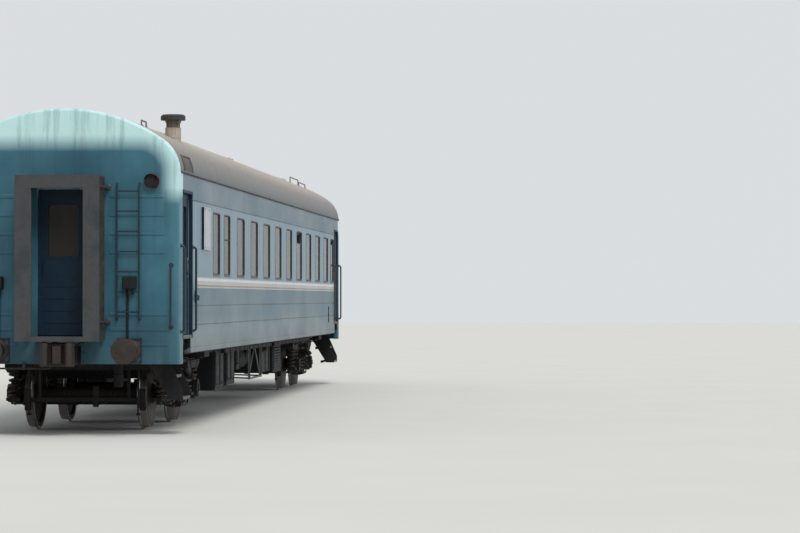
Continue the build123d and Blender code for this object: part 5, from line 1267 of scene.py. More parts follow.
def makeCradles(look):
    cradle = Shape()
    start, stop, y, bottom, top = look["from"], look["to"], look["y"], look["bottom"], frameZ
    middle, depths = (start + stop) / 2, (y - 0.006, y + look["bar"])
    for ys in (-1, 1):
        cradle.at(ys=ys)
        for x, inside in ((start, start + 0.03), (stop, stop - 0.03)):
            cradle.slab(x, 0.03, (depths[0], y + 0.006), (bottom, top))
            cradle.slab(x, 0.006, depths, (bottom, top), 0.002)
            cradle.bolts([(x + dx, y + 0.006, bottom + 0.03) for dx in (-0.018, 0.018)], 0.008)
            cradle.bar([(inside, y, bottom + 0.02), (middle, y, top - 0.04)], 0.012)
            # cross ties back to the sill
            cradle.bar([(x, y, bottom), (x, 0.55, bottom + 0.02), (x, 0.22, top - 0.03)], 0.014, 0.08)
        cradle.box((start - 0.03, depths[0], bottom - 0.02), (stop + 0.03, depths[1], bottom + 0.008))
        cradle.lathe(disc(0.03, 0.012), (middle, y, top - 0.05), 20)
    cradle.piece("reservoir_cradles", "stripGrey", "box_grey")


makeCradles(cradleLook)

airLook = {"from": -1.2, "to": 0.3, "y": 0.8, "z": 0.808, "radius": 0.2, "drain": -0.45}


def makeReservoirDetail(look):
    tanks = Shape()
    y, z, radius, drain = look["y"], look["z"], look["radius"], look["drain"]
    for ys in (-1, 1):
        for x, turn in ((look["from"], -1), (look["to"], 1)):
            tanks.at(turn, ys, x)
            tanks.lathe([(radius - 0.002, -0.002), (radius - 0.008, 0.018), (0.165, 0.045), (0.10, 0.066),
                (0.04, 0.074), (0, 0.075)], (0, y, z), 36, lengthways)
            tanks.lathe(hoop(radius + 0.004, 0.004, 0.034, 0.004, -0.05), (0, y, z), 36, lengthways)
            tanks.lathe(stub(0.03, 0.02, 0.018, 0.024, 0.05), (0.07, y, z), 16, lengthways)
            tanks.bar([(0.10, y, z), (0.14, y, z), (0.14, y, 1.04), (0.14, 0.36, 1.046)], 0.014, 0.05)
        tanks.at(ys=ys)
        tanks.lathe(stub(0.022, 0.03, 0.012, 0.034, 0.055), (drain, y, z - radius + 0.004), 14, downward)
        tanks.bar([(drain, y, z - radius - 0.035), (drain, y + 0.10, z - radius - 0.04)], 0.006)
    tanks.piece("reservoir_domes", "frameBlack", "underframe_black")


makeReservoirDetail(airLook)

brakeLook = {"from": 4.3, "to": 4.82, "y": -0.42, "z": 0.838, "radius": 0.178}
rodLook = {"y": -0.435, "low": 0.62, "high": 0.90, "levers": ((6.20, 6.62), (-3.05, -6.62)),
    "hangers": (-5.9, -3.9, -1.6, 0.2, 2.0, 3.8, 5.6), "adjusterX": -0.9}
generatorLook = {"from": 4.3, "to": 5.1, "y": 0.48, "z": 0.768, "radius": 0.24, "fins": 11}


def makeBrakeDetail(look, rod, power):
    gear, rods = Shape(), Shape()
    y, z, radius = look["y"], look["z"], look["radius"]
    flange = radius + 0.022
    for x, turn, hole in ((look["from"], -1, 0.0), (look["to"], 1, 0.03)):
        gear.at(turn, 1, x)
        gear.lathe([(radius - 0.004, -0.03), (flange, -0.028), (flange, -0.006), (radius - 0.01, 0.0),
            (0.12, 0.025), (0.07, 0.035), (hole, 0.036)], (0, y, z), 36, lengthways)
        gear.bolts([(-0.006, y + u, z + v) for u, v in circle(radius + 0.010, 12, 15)], 0.010, lengthways)
    gear.at()
    for k in range(4):
        gear.lathe(hoop(radius + 0.006, 0.008, 0.012, 0.002), (look["from"] + 0.10 + 0.09 * k, y, z), 36,
            lengthways)
    # vertical levers, the long rod between them and the pull rods towards both bogies
    line, low, high = rod["y"], rod["low"], rod["high"]
    for x, far in rod["levers"]:
        rods.slab(x, 0.012, (-0.47, -0.40), (0.60, 0.94), 0.006)
        for height in (low, high):
            rods.lathe(disc(0.022, 0.1, -0.05), (x, line, height), 14)
        rods.slab(x, 0.03, (-0.50, -0.37), (0.92, frameZ), 0.006)
        rods.bar([(x, line, high), (far, -0.10, high)], 0.015)
    rods.bar([(x, line, low) for x, far in rod["levers"]], 0.015)
    for x in rod["hangers"]:
        rods.bar([(x, line + dy, height) for dy, height in ((-0.05, 0.60), (-0.05, 0.645), (0.05, 0.645),
            (0.05, 0.60), (-0.05, 0.60))], 0.006, 0.01, 8)
        rods.bar([(x, line, 0.645), (x, line, frameZ)], 0.007, 0.0, 8)
    rods.lathe(stub(0.034, 0.55, 0.024, 0.57, 0.9), (rod["adjusterX"], line, low), 18, lengthways)
    # generator: cooling fins, end bells, pulley and terminal box
    y, z, radius, start, stop = power["y"], power["z"], power["radius"], power["from"], power["to"]
    for k in range(power["fins"]):
        gear.lathe(hoop(radius + 0.012, 0.014, 0.009, 0.001), (start + 0.09 + (stop - start - 0.18) * k /
            (power["fins"] - 1), y, z), 36, lengthways)
    gear.lathe([(0.0, 0), (0.10, 0), (0.10, 0.012), (0.088, 0.022), (0.10, 0.032), (0.088, 0.042),
        (0.10, 0.052), (0.10, 0.064), (0.0, 0.064)], (stop + 0.092, y, z), 28, lengthways)
    gear.box((start + 0.2, y + radius - 0.03, z + 0.02), (start + 0.5, y + radius + 0.06, z + 0.18), 0.01)
    for x, turn in ((start, -1), (stop, 1)):
        gear.at(turn, 1, x)
        gear.lathe([(radius - 0.004, -0.01), (radius - 0.012, 0.015), (0.16, 0.05), (0.07, 0.065),
            (0.07, 0.09), (0.0, 0.092)], (0, y, z), 36, lengthways)
        gear.bolts([(0.012, y + u, z + v) for u, v in circle(0.20, 6)], 0.012, lengthways)
    gear.piece("brake_and_generator_fittings", "frameBlack", "underframe_black")
    rods.piece("brake_rods", "bogieBlack", "underframe_black")


makeBrakeDetail(brakeLook, rodLook, generatorLook)

dropLook = {"places": (-10.69, 10.69), "y": -0.55, "radius": 0.062, "top": 1.198, "gussetStep": 1.757,
    "gussetAside": 0.062, "gussetThick": 0.006}


def makeDropPipes(look):
    drops = Shape()
    rad, y, top = look["radius"], look["y"], look["top"]
    for x in look["places"]:
        drops.lathe([(rad, 0), (rad, 0.40), (rad * 1.12, 0.41), (rad * 1.12, 0.50), (rad * 0.9, 0.578),
            (rad * 0.82, 0.578), (rad * 0.98, 0.48), (rad * 0.9, 0.0)], (x, y, top), 28, downward)
        drops.lathe([(rad, 0), (rad + 0.035, 0), (rad + 0.035, 0.012), (rad, 0.014)], (x, y, top - 0.001),
            28, downward)
        drops.bar([(x - 0.07, y, top - 0.22), (x - 0.07, y - 0.12, top - 0.22), (x, y - 0.12, top - 0.002)],
            0.008, 0.02)
    # gussets between the skirt and the cross members, along both sides
    for ys in (-1, 1):
        for number in range(-6, 7):
            for turn in (-1, 1):
                drops.at(turn, ys, number * look["gussetStep"])
                drops.skin([[(x, 1.342, frameZ), (x, 1.342, 1.19), (x, 1.16, 1.19)]
                    for x in (look["gussetAside"], look["gussetAside"] + look["gussetThick"])])
    drops.piece("drop_pipes_and_gussets", "frameBlack", "underframe_black")


makeDropPipes(dropLook)

# entry steps: nosings and anti-slip ribs on the treads, braces behind
stepLook = {"treads": [(1.088, 1.3145), (0.798, 1.4295), (0.508, 1.5445)], "depth": 0.29, "from": 10.788,
    "to": 11.427, "rib": 0.004, "plates": ((10.766, -1), (11.449, 1))}


def makeStepDetail(look):
    ribs, braces = Shape(), Shape()
    start, stop, depth = look["from"], look["to"], look["depth"]
    for end, xs, side, ys in corners:
        ribs.at(xs, ys)
        braces.at(xs, ys)
        for z, outer in look["treads"]:
            ribs.box((start, outer - 0.022, z), (stop, outer, z + 0.005), 0.0015)
            ribs.box((start, outer + 0.0005, z - 0.032), (stop, outer + 0.0035, z + 0.005), 0.001)
            for y in [outer - 0.045 - 0.028 * k for k in range(8)]:
                ribs.box((start + 0.01, y - 0.003, z), (stop - 0.01, y + 0.003, z + look["rib"]), 0.001)
            braces.box((start, outer - depth, z - 0.055), (stop, outer - depth + 0.006, z - 0.028), 0.002)
        for x, turn in look["plates"]:
            braces.bolts([(x, 1.30 + 0.055 * k, 1.145) for k in range(4)], 0.010, (turn, 0, 0))
            for z, outer in look["treads"]:
                braces.bolts([(x, outer - 0.06, z - 0.015), (x, outer - 0.20, z - 0.015)], 0.009,
                    (turn, 0, 0))
    ribs.piece("tread_ribs", "floorSteel", "floor_steel")
    braces.piece("step_braces", "frameBlack", "underframe_black")


makeStepDetail(stepLook)
print("underfloor pieces made")

# bogies: coil springs, spring seats, axle-box covers, pins, guards and pipes
bogieLook = {"centre": 8.5, "axle": 1.2, "axleZ": 0.503, "beamY": 1.098, "beamZ": (0.80, 0.95),
    "springY": 1.018, "axleSprings": (0.29, 0.095, (0.4505, 0.80), 0.0165),
    "midSprings": (0.14, 0.115, (0.34, 0.64), 0.0175), "turns": 5.0, "coverY": 1.170, "half": 1.82}


# a wound wire whose end turns lie flat
def coilSpring(shape, place, radius, wire, low, high, turns, start, steps=20, sides=8):
    count, flat = int(turns * steps), 0.7
    rings = []
    for turn in [turns * i / count for i in range(count + 1)]:
        middle = min(max((turn - flat) / (turns - 2 * flat), 0.0), 1.0)
        angle = start + 2 * math.pi * turn
        radial = Vector((math.cos(angle), math.sin(angle), 0))
        centre = Vector((*place, low + wire + (high - low - 2 * wire) * middle)) + radial * radius
        rings.append([centre + radial * u + Vector(upward) * v for u, v in circle(wire, sides)])
    shape.skin(rings)


def makeBogieSprings(look):
    aside, midAside = look["axleSprings"][0], look["midSprings"][0]
    places = [(axle + turn * aside, look["axleSprings"]) for axle in (-look["axle"], look["axle"])
        for turn in (-1, 1)]
    places += [(turn * midAside, look["midSprings"]) for turn in (-1, 1)]
    for end, xs in ends:
        coils, seats = Shape(), Shape()
        for number, (x, (_, radius, (low, high), wire)) in enumerate(places):
            for y in (-look["springY"], look["springY"]):
                place = (xs * look["centre"] + x, y)
                coilSpring(coils, place, radius - wire, wire, low + 0.012, high - 0.012, look["turns"],
                    0.9 * number)
                coilSpring(coils, place, radius * 0.52, wire * 0.62, low + 0.012, high - 0.012,
                    look["turns"] + 2.0, 2.0 - 0.9 * number, 14, 6)
                for z, axis in ((low, upward), (high, downward)):
                    seats.lathe([(0, 0), (radius - 0.001, 0), (radius - 0.001, 0.010),
                        (radius - 0.012, 0.014), (0.034, 0.014), (0.030, 0.035), (0, 0.038)], (*place, z),
                        axis=axis)
                # spring guide in the middle of the coils
                seats.lathe([(0.020, 0), (0.020, high - low - 0.004)], (*place, low + 0.002), 14, upward)
        coils.piece("bogie_coils_" + end, "springSteel", "spring_steel", "bogie_" + end,
            stands=("bogie_springs_" + end,))
        seats.piece("spring_seats_" + end, "bogieBlack", "bogie_black", "bogie_" + end)


makeBogieSprings(bogieLook)


# at each axle box: cover, cap, stop, and the nuts and ribs of both spring wings
def addAxleBox(gear, bolts, x, look):
    axleZ, springY, cover, outer = look["axleZ"], look["springY"], look["coverY"], look["beamY"]
    low, high = look["beamZ"]
    gear.lathe([(0.098, -0.012), (0.124, -0.012), (0.124, -0.002), (0.098, 0.002)], (x, cover, axleZ), 36)
    gear.lathe([(0, 0), (0.062, 0), (0.060, 0.012), (0.040, 0.020), (0.016, 0.022), (0, 0.022)],
        (x, cover, axleZ), 32)
    for reach, count, first, lift, size in ((0.110, 8, 22.5, -0.002, 0.013), (0.045, 4, 45, 0.018, 0.008)):
        bolts.bolts([(x + u, cover + lift, axleZ + v) for u, v in circle(reach, count, first)], size)
    gear.lathe(hoop(0.159, 0.011, 0.020, 0.002, -0.03), (x, 1.125, axleZ), 40)
    gear.lathe([(0, 0), (0.050, 0), (0.046, 0.030), (0.030, 0.044), (0, 0.046)], (x, springY, low), 20,
        downward)
    gear.slab(x, 0.045, (0.965, 1.065), (0.655, 0.682), 0.006)
    for turn in (-1, 1):
        wing = x + turn * look["axleSprings"][0]
        gear.slab(wing, 0.006, (outer, outer + 0.007), (low + 0.012, high - 0.012), 0.002)
        bolts.lathe([(0, 0), (0.032, 0), (0.032, 0.010), (0.024, 0.012), (0.024, 0.040), (0.016, 0.044),
            (0.016, 0.060), (0, 0.060)], (wing, springY, 0.4055), 6, downward)
        for inner in (0.960, 1.060):
            gear.skin([[(x + turn * 0.15, y, 0.408), (x + turn * 0.36, y, 0.408),
                (x + turn * 0.15, y, 0.372)] for y in (inner, inner + 0.015)])


# the swing bolster's links with their pins and nuts, and a safety strap round the plank
def addLinks(gear, bolts, turn, look):
    x, strap, outer = turn * 0.33, turn * 0.235, look["beamY"]
    bolts.lathe([(0, 0), (0.030, 0), (0.030, 0.014), (0.022, 0.018), (0.022, 0.036), (0, 0.038)],
        (x, outer, 0.855), 20)
    gear.slab(x, 0.045, (outer - 0.001, outer + 0.006), (0.802, 0.905), 0.004)
    for y in (0.955, 1.081):
        gear.bar([(x, y, 0.345), (x, y, 0.80)], 0.011)
    bolts.lathe(stub(0.034, 0.012, 0.022, 0.016, 0.034), (x, look["springY"], 0.300), 6, downward)
    gear.bar([(strap, y, z) for y, z in ((1.130, 0.80), (1.150, 0.72), (1.150, 0.30), (1.02, 0.275),
        (0.90, 0.30))], 0.010, 0.05)


# the damper stands aslant: gaiter rings, eye bush and bracket bolts
damperLook = {"top": (0.56, 0.88), "foot": (0.10, 0.712), "y": 1.235}


def addDamper(pipes, bolts, look):
    (topX, topZ), (footX, footZ) = look["top"], look["foot"]
    line = Vector((footX - topX, 0, footZ - topZ))
    length, axis = line.length, line.normalized()
    rings = [(hoop(0.0435, 0.006, 0.018, 0.002), along, 28) for along in (0.06, length * 0.6 - 0.022)]
    rings += [(hoop(0.030, 0.010, 0.012, 0.004), length * 0.6 + 0.012 + 0.016 * k, 20) for k in range(6)]
    for profile, along, sides in rings:
        pipes.lathe(profile, Vector((topX, look["y"], topZ)) + axis * along, sides, axis)
    bolts.lathe(stub(0.022, 0.010, 0.014, 0.012, 0.024), (footX, 1.280, footZ), 6)
    bolts.bolts([(topX + dx, 1.275, topZ + dz) for dx in (-0.04, 0.04) for dz in (-0.025, 0.025)], 0.009)


def makeBogieFittings(look):
    outer, half, (low, high) = look["beamY"], look["half"], look["beamZ"]
    pipeY, pipeZ = outer + 0.022, high - 0.035
    halfPipe = [(0.38, high + 0.03), (0.45, pipeZ), (1.60, pipeZ)]
    for end, xs in ends:
        gear, bolts, pipes = shapes = [Shape() for _ in range(3)]

        def place(turn, ys):
            for shape in shapes:
                shape.at(turn, ys, xs * look["centre"])
        for ys in (-1, 1):
            place(1, ys)
            # flanges along the beam's edges
            gear.slab(0, half - 0.19, (outer - 0.002, outer + 0.008), (low, low + 0.014), 0.002)
            gear.slab(0, half - 0.06, (outer - 0.002, outer + 0.008), (high - 0.014, high), 0.002)
            for turn in (-1, 1):
                addAxleBox(gear, bolts, turn * look["axle"], look)
                addLinks(gear, bolts, turn, look)
                # guard irons at the bogie's ends
                x = turn * (half - 0.03)
                gear.bar([(x, 0.76, 0.86), (x, 0.76, 0.62), (x + turn * 0.02, 0.76, 0.24)], 0.014, 0.05)
                gear.box((x - 0.04, 0.735, 0.215), (x + 0.05, 0.785, 0.25), 0.006)
            # brake pipe along the beam with its clips, and rows of bolts
            pipes.bar([(-x, pipeY, z) for x, z in reversed(halfPipe)] + [(x, pipeY, z) for x, z in halfPipe],
                0.011, 0.05)
            for x in (-1.45, -1.05, -0.72, 0.72, 1.05, 1.45):
                pipes.slab(x, 0.012, (outer, outer + 0.037), (pipeZ - 0.020, pipeZ + 0.020))
            bolts.bolts([(-1.45 + 0.145 * k, outer + 0.008, low + 0.007) for k in range(21)], 0.007)
            bolts.bolts([(x, outer, low + dz) for x in (-0.51, -0.41, 0.41, 0.51) for dz in (0.05, 0.10)],
                0.012)
            place(ys, ys)
            addDamper(pipes, bolts, damperLook)
        # pull rods and hangers of the brake beams on both sides of each axle
        for axle in (-look["axle"], look["axle"]):
            place(1, 1)
            for y in (-0.16, 0.16):
                gear.bar([(axle + dx, y, z) for dx, z in ((-0.52, 0.43), (-0.40, 0.36), (0.40, 0.36),
                    (0.52, 0.43))], 0.013, 0.06)
            for x in (axle - 0.545, axle + 0.545):
                gear.slab(x, 0.010, (-0.20, -0.12), (0.33, 0.62), 0.006)
                gear.bar([(x, -0.19, 0.45), (x, 0.19, 0.45)], 0.012)
        gear.piece("bogie_fittings_" + end, "bogieBlack", "bogie_black", "bogie_" + end)
        bolts.piece("bogie_bolts_" + end, "boltSteel", "bogie_black", "bogie_" + end)
        pipes.piece("bogie_pipes_" + end, "bogieBlack", "bogie_black", "bogie_" + end)


makeBogieFittings(bogieLook)


# wheels: the finish follows the distance from the axle
def makeWheelFinish(name, axleX, look):
    t = Tree(name)
    dx, dz = t.calc("SUBTRACT", t.x, axleX), t.calc("SUBTRACT", t.z, bogieLook["axleZ"])
    radius = t.calc("SQRT", t.plus(t.times(dx, dx), t.times(dz, dz)))
    broad, fine, tread = t.noise(5, None, 5), t.noise(46, None, 5), t.ramp(radius, 0.466, 0.470)
    t.colour = look["disc"]
    t.stain(look["rust"], broad, 0.35, 0.65)
    t.stain(look["dark"], fine, 0.48, 0.75, 0.0, 0.7)
    t.lay(t.times(t.between(radius, 0.405, 0.462, 0.004), 0.55), look["dark"])
    t.stain(look["dark"], radius, 0.13, 0.15, 0.6, 0.0)
    t.lay(t.times(tread, t.ramp(fine, 0.3, 0.6, 0.8, 1.0)), look["tread"])
    rings = t.times(t.calc("PINGPONG", radius, 0.0025), 40.0)
    return t.finish(t.ramp(tread, 0, 1, 0.68, 0.28), t.bump(t.plus(fine, rings), 0.25, 0.002),
        Metallic=t.ramp(tread, 0, 1, 0.25, 0.95))


def makeWheelDetail(look):
    axleZ = bogieLook["axleZ"]
    for end, xs in ends:
        for which, turn in (("outer", 1), ("inner", -1)):
            axleX, name = xs * (bogieLook["centre"] + turn * bogieLook["axle"]), end + "_" + which
            wheel = nodes["wheelset_" + name].data
            wheel.materials.clear()
            wheel.materials.append(makeWheelFinish(f"wheelset_{name}_steel", axleX, look))
            marks = Shape()
            for ys in (-1, 1):
                # tyre-lock ring, hub shoulder and the lifting holes' rims on the outer face
                marks.at(1, ys, axleX)
                marks.lathe(hoop(0.412, 0.006, 0.003), (0, 0.8485, axleZ), 48)
                marks.lathe([(0.100, 0), (0.134, 0), (0.134, 0.004), (0.100, 0.006)], (0, 0.884, axleZ), 36)
                for u, v in circle(0.27, 3, 20):
                    marks.lathe(hoop(0.024, 0.010, 0.008, 0, -0.004), (u, 0.796, axleZ + v), 20)
            # balance collars on the axle between the wheels
            marks.at(1, 1, axleX)
            for y in (-0.36, -0.30, 0.30, 0.36):
                marks.lathe(hoop(0.092, 0.0098, 0.016, 0.002), (0, y, axleZ), 32)
            marks.piece("wheel_rings_" + name, "wheelSteel", "wheel_steel", "wheels_" + name)


makeWheelDetail(wheelSteel)
print("bogie pieces made")

# outer panes: the second glass of each side window, near the wall's outer face; two stand partly open
outerPane = {"setback": 0.014, "thickness": 0.005, "inset": 0.009, "corner": 0.042,
    "open": {3.505: 0.20, 10.165: 0.10}, "transomX": -6.935, "transomDrop": 0.351}


def makeOuterPanes(look):
    inset, back = look["inset"], wallY - look["setback"]
    top, bottom = windows["top"] - inset, windows["bottom"] + inset
    for side, ys in sides:
        panes = Shape(ys=ys)
        for x, width in windowRow:
            drop = look["open"].get(x, 0.0) if side == "right" else 0.0
            outline = roundedOutline(width - 2 * inset, top - bottom - drop, look["corner"])
            panes.skin([[(x + u, y, (top - drop + bottom) / 2 + v) for u, v in outline]
                for y in (back, back - look["thickness"])])
        panes.piece("outer_panes_" + side, "paneGlass", "window_glass", smooth=20)
    # the bar of the divided window and the edges of the two sashes that stand open
    bars = Shape(ys=-1)
    for x, width in windowRow:
        if x == look["transomX"]:
            z = top - look["transomDrop"]
            bars.slab(x, width / 2 - inset, (wallY - 0.003, back), (z - 0.008, z + 0.008), 0.002)
        if x in look["open"]:
            z = top - look["open"][x]
            bars.slab(x, width / 2 - inset, (wallY - 0.006, back - 0.02), (z - 0.006, z + 0.010), 0.002)
    bars.piece("sash_bars", "windowRubber", "window_rubber")


makeOuterPanes(outerPane)

# rooms: benches and bunks with cushions, ceiling panels, rail along the corridor
benchBox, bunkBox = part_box("lower_berths"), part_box("upper_berths")
roomLook = {"first": windows["first"] - windows["pitch"] / 2, "berth": 0.30, "offset": 0.315, "foot": 0.07,
    "lid": 0.018, "cushion": 0.084, "fields": 3, "bunkBoard": 0.024, "bunkRail": 0.010,
    "low": benchBox[0][1] + 0.004, "high": benchBox[1][1] - 0.004, "ceiling": floorTop + 2.16,
    "ceilingThick": 0.012, "corridorRail": floorTop + 0.95, "railIn": 0.075}
roomStarts = [roomLook["first"] + room * windows["pitch"] for room in range(windows["count"])]
cushionLook = {"voxel": 0.046, "pressure": 4.0, "steps": 20, "cap": 0.012, "round": 0.020, "pull": 0.010,
    "grow": 0.010, "channels": 5, "channelHalf": 0.03, "channelDepth": 0.006, "fill": 0.7}


def bakeModifiers(piece):
    graph = bpy.context.evaluated_depsgraph_get()
    baked = bpy.data.meshes.new_from_object(piece.evaluated_get(graph))
    piece.modifiers.clear()
    piece.data = baked


# a flat pad, crowned by simulated air pressure and then smoothed
def makePadMesh(name, width, length, thick, look):
    size = Vector((width - 2 * look["grow"], length - 2 * look["grow"], thick - look["grow"]))
    pad = bevelledBox([(-span / 2, span / 2) for span in size], look["round"], 2)
    mesh = bpy.data.meshes.new(name)
    pad.to_mesh(mesh)
    pad.free()
    piece = newObject(name, mesh)
    remesh = piece.modifiers.new("remesh", "REMESH")
    remesh.mode = "VOXEL"
    remesh.voxel_size = look["voxel"]
    bakeModifiers(piece)
    rest = [vert.co.copy() for vert in piece.data.vertices]
    cloth = piece.modifiers.new("cloth", "CLOTH")
    cloth.settings.use_pressure = True
    cloth.settings.uniform_pressure_force = look["pressure"]
    cloth.settings.effector_weights.gravity = 0.0
    cloth.settings.quality = 4
    for step in range(1, look["steps"] + 1):
        bpy.context.scene.frame_set(step)
    bakeModifiers(piece)
    bpy.context.scene.frame_set(1)
    # a point moves no further than the cap, the ends pull in a little and the underside stays flat
    for vert, start in zip(piece.data.vertices, rest):
        move = vert.co - start
        if move.length > look["cap"]:
            vert.co = start + move.normalized() * look["cap"]
        across, along = vert.co.x / size.x * 2, vert.co.y / size.y * 2
        vert.co.x *= 1 - look["pull"] / size.x * (1 - abs(along) ** 4) * 0.6
        vert.co.y *= 1 - look["pull"] / size.y * (1 - abs(across) ** 4)
        vert.co.z = max(vert.co.z, -thick / 2)
    smooth = piece.modifiers.new("smooth", "SUBSURF")
    smooth.levels = 1
    bakeModifiers(piece)
    made = piece.data
    bpy.data.objects.remove(piece)
    # shallow sewn channels across the top
    channels, channelHalf = look["channels"], look["channelHalf"]
    for vert in made.vertices:
        along = (vert.co.y / size.y + 0.5) * channels
        near = abs(along - round(along)) * size.y / channels
        if vert.co.z > 0 and 0.5 < along < channels - 0.5 and near < channelHalf:
            vert.co.z -= look["channelDepth"] * (1 - near / channelHalf)
    reach = [max(abs(vert.co[axis]) for vert in made.vertices) for axis in (0, 1)]
    fit = [min(1.0, limit / 2 / value) for limit, value in zip((width, length), reach)]
    for vert in made.vertices:
        vert.co.x *= fit[0]
        vert.co.y *= fit[1]
        vert.co.z = min(vert.co.z, thick / 2)
    made.materials.append(mats["berthVinyl"])
    made.polygons.foreach_set("use_smooth", [True] * len(made.polygons))
    return made


def placePad(mesh, name, centre):
    pad = newObject(name, mesh)
    pad.location = centre
    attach(pad, "coach_body")


def makeRooms(look):
    shapes = [Shape() for _ in range(3)]
    benches, bunks, metal = shapes
    low, high, berth, cushion, lid = look["low"], look["high"], look["berth"], look["cushion"], look["lid"]
    middle, length, seat, shelf = (low + high) / 2, high - low, benchBox[1][2] - cushion, bunkBox[0][2]
    foot, under = floorTop + look["foot"], seat - lid
    board, bunkTop = shelf + look["bunkBoard"], bunkBox[1][2]
    lowerPad = makePadMesh("lower_pad", 0.575, length - 0.02, cushion - 0.002, cushionLook)
    upperPad = makePadMesh("upper_pad", 0.540, length - 0.06, bunkTop - board, cushionLook)
    # each room has a berth against either wall; aisle is the way from it to the room's middle
    berths = [(place, aisle) for start in roomStarts for place, aisle in ((start + look["offset"], 1),
        (start + windows["pitch"] - look["offset"], -1))]
    back, face, edge, front = 0.002 - berth, berth - 0.03, berth - 0.012, berth - 0.016
    for number, (x, aisle) in enumerate(berths, 1):
        for shape in shapes:
            shape.at(aisle, 1, x)
        benches.box((back, low, foot), (face, high, under), 0.004)
        benches.box((back, low + 0.03, floorTop), (face - 0.05, high - 0.03, foot), 0.002)
        benches.box((back, low, under), (face + 0.024, high, seat), 0.005)
        for field in range(look["fields"]):
            start, stop = [low + length * (field + part) / look["fields"] for part in (0.06, 0.94)]
            benches.box((face, start, foot + 0.03), (face + 0.006, stop, under - 0.03))
            metal.lathe([(0.016, 0), (0.018, 0.004), (0.012, 0.010), (0, 0.012)],
                (face + 0.006, (start + stop) / 2, under - 0.06), 10, lengthways)
        bunks.box((back, low, shelf + 0.001), (front, high, board), 0.005)
        metal.bar([(edge, low + 0.01, shelf + 0.014), (edge, high - 0.01, shelf + 0.014)], look["bunkRail"])
        for y in (low + 0.30, high - 0.30):
            metal.bar([(edge, y, shelf + 0.014), (edge, y, shelf + 0.05), (edge - 0.03, y, shelf + 0.062)],
                0.005, 0.01, 8)
        placePad(lowerPad, f"lower_cushion_{number}", (x - aisle * 0.004, middle, seat + cushion / 2))
        placePad(upperPad, f"upper_cushion_{number}", (x - aisle * 0.018, middle,
            (board + bunkTop) / 2 + 0.001))
    benches.piece("benches", "roomLaminate", "room_laminate", stands=("lower_berths",))
    bunks.piece("bunk_boards", "roomLaminate", "room_laminate", stands=("upper_berths",))
    metal.piece("berth_metal", "brightMetal", "room_laminate")


makeRooms(roomLook)


def makeCeilings(look):
    panels, lamps, rail = [Shape() for _ in range(3)]
    low, high, under, half = look["low"], look["high"], look["ceiling"], windows["pitch"] / 2
    for middle in [start + half for start in roomStarts]:
        panels.slab(middle, half - 0.018, (low, high), (under, under + look["ceilingThick"]))
        for rib in (middle - 0.55, middle + 0.55):
            panels.slab(rib, 0.012, (low + 0.01, high - 0.01), (under - 0.006, under), 0.002)
        lamps.slab(middle, 0.07, (-0.75, -0.10), (under - 0.045, under), 0.015)
        lamps.slab(middle, 0.085, (-0.77, -0.08), (under - 0.012, under), 0.004)
    panels.piece("ceiling_panels", "ceilingPaint", "room_laminate")
    lamps.piece("ceiling_lamps", "boardWhite", "room_laminate")
    start, pitch, count, z = look["first"], windows["pitch"], windows["count"], look["corridorRail"]
    y = -benchBox[0][1] - look["railIn"]
    rail.bar([(start, y, z), (start + count * pitch, y, z)], 0.016)
    for x in [start + number * pitch * 0.999 + 0.01 for number in range(count + 1)]:
        rail.bar([(x, y, z), (x, y + 0.074, z)], 0.009, 0.0, 8)
    rail.piece("corridor_rail", "brightMetal", "room_laminate")


makeCeilings(roomLook)
print("rooms made")

# floor, backdrop, lights and camera
stageLook = {"floor": tone(214, 214, 210), "floorSecond": tone(206, 206, 202), "half": 160.0,
    "sky": tone(244, 247, 250), "skyCamera": 0.78, "skyLight": 0.62}
sunLooks = {
    "keyLight": {"strength": 1.9, "angle": 24, "way": (0.62, 0.30, -0.85), "colour": (1.0, 0.97, 0.93)},
    "fillLight": {"strength": 0.5, "angle": 60, "way": (0.1, 0.9, -0.35), "colour": (0.92, 0.96, 1.0)},
}
cameraLook = {"place": (-48.81, -6.979, 1.835), "turn": 3.875, "pitch": 0.639, "lens": 126.9}


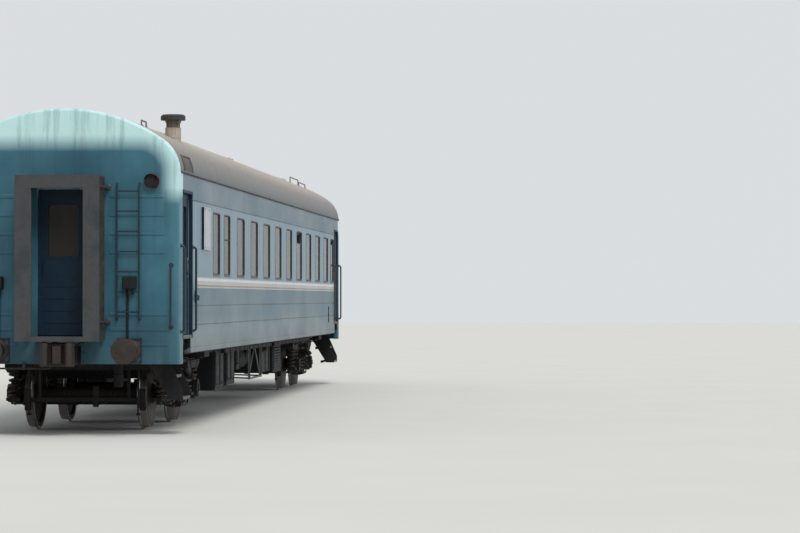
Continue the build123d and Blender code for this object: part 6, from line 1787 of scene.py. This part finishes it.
def makeFloor(look):
    mesh = bpy.data.meshes.new("studioFloor")
    half = look["half"]
    mesh.from_pydata([(-half, -half, 0), (half, -half, 0), (half, half, 0), (-half, half, 0)], [],
        [(0, 1, 2, 3)])
    floor = newObject("studioFloor", mesh)
    t = Tree("floorTone")
    t.colour = look["floor"]
    t.lay(t.noise(0.4, None, 3), look["floorSecond"])
    mesh.materials.append(t.finish(0.9, gloss=0.1))


# the sky is brighter where it is seen, straight, through glass or mirrored
def makeSky(look):
    world = bpy.data.worlds.new("studioSky")
    bpy.context.scene.world = world
    world.use_nodes = True
    tree = world.node_tree
    tree.nodes.clear()
    rays = tree.nodes.new("ShaderNodeLightPath").outputs
    seen = rays["Is Camera Ray"]
    for ray in ("Is Transmission Ray", "Is Glossy Ray"):
        either = tree.nodes.new("ShaderNodeMath")
        either.operation = "MAXIMUM"
        tree.links.new(seen, either.inputs[0])
        tree.links.new(rays[ray], either.inputs[1])
        seen = either.outputs[0]
    strength = tree.nodes.new("ShaderNodeMapRange")
    tree.links.new(seen, strength.inputs[0])
    strength.inputs[3].default_value = look["skyLight"]
    strength.inputs[4].default_value = look["skyCamera"]
    background = tree.nodes.new("ShaderNodeBackground")
    background.inputs[0].default_value = look["sky"]
    tree.links.new(strength.outputs[0], background.inputs[1])
    out = tree.nodes.new("ShaderNodeOutputWorld")
    tree.links.new(background.outputs[0], out.inputs[0])


def addSun(name, look):
    data = bpy.data.lights.new(name, "SUN")
    data.energy = look["strength"]
    data.angle = math.radians(look["angle"])
    data.color = look["colour"]
    sun = newObject(name, data)
    sun.rotation_euler = Vector(look["way"]).to_track_quat("-Z", "Y").to_euler()


makeFloor(stageLook)
makeSky(stageLook)
for name, look in sunLooks.items():
    addSun(name, look)

cameraData = bpy.data.cameras.new("photoView")
cameraData.lens = cameraLook["lens"]
cameraData.sensor_width = 36
cameraData.clip_end = 500
camera = newObject("photoView", cameraData)
camera.location = cameraLook["place"]
camera.rotation_euler = (math.radians(90 + cameraLook["pitch"]), 0, math.radians(cameraLook["turn"] - 90))
bpy.context.scene.camera = camera
bpy.context.scene.view_settings.view_transform = "Standard"
print("stage and camera set")
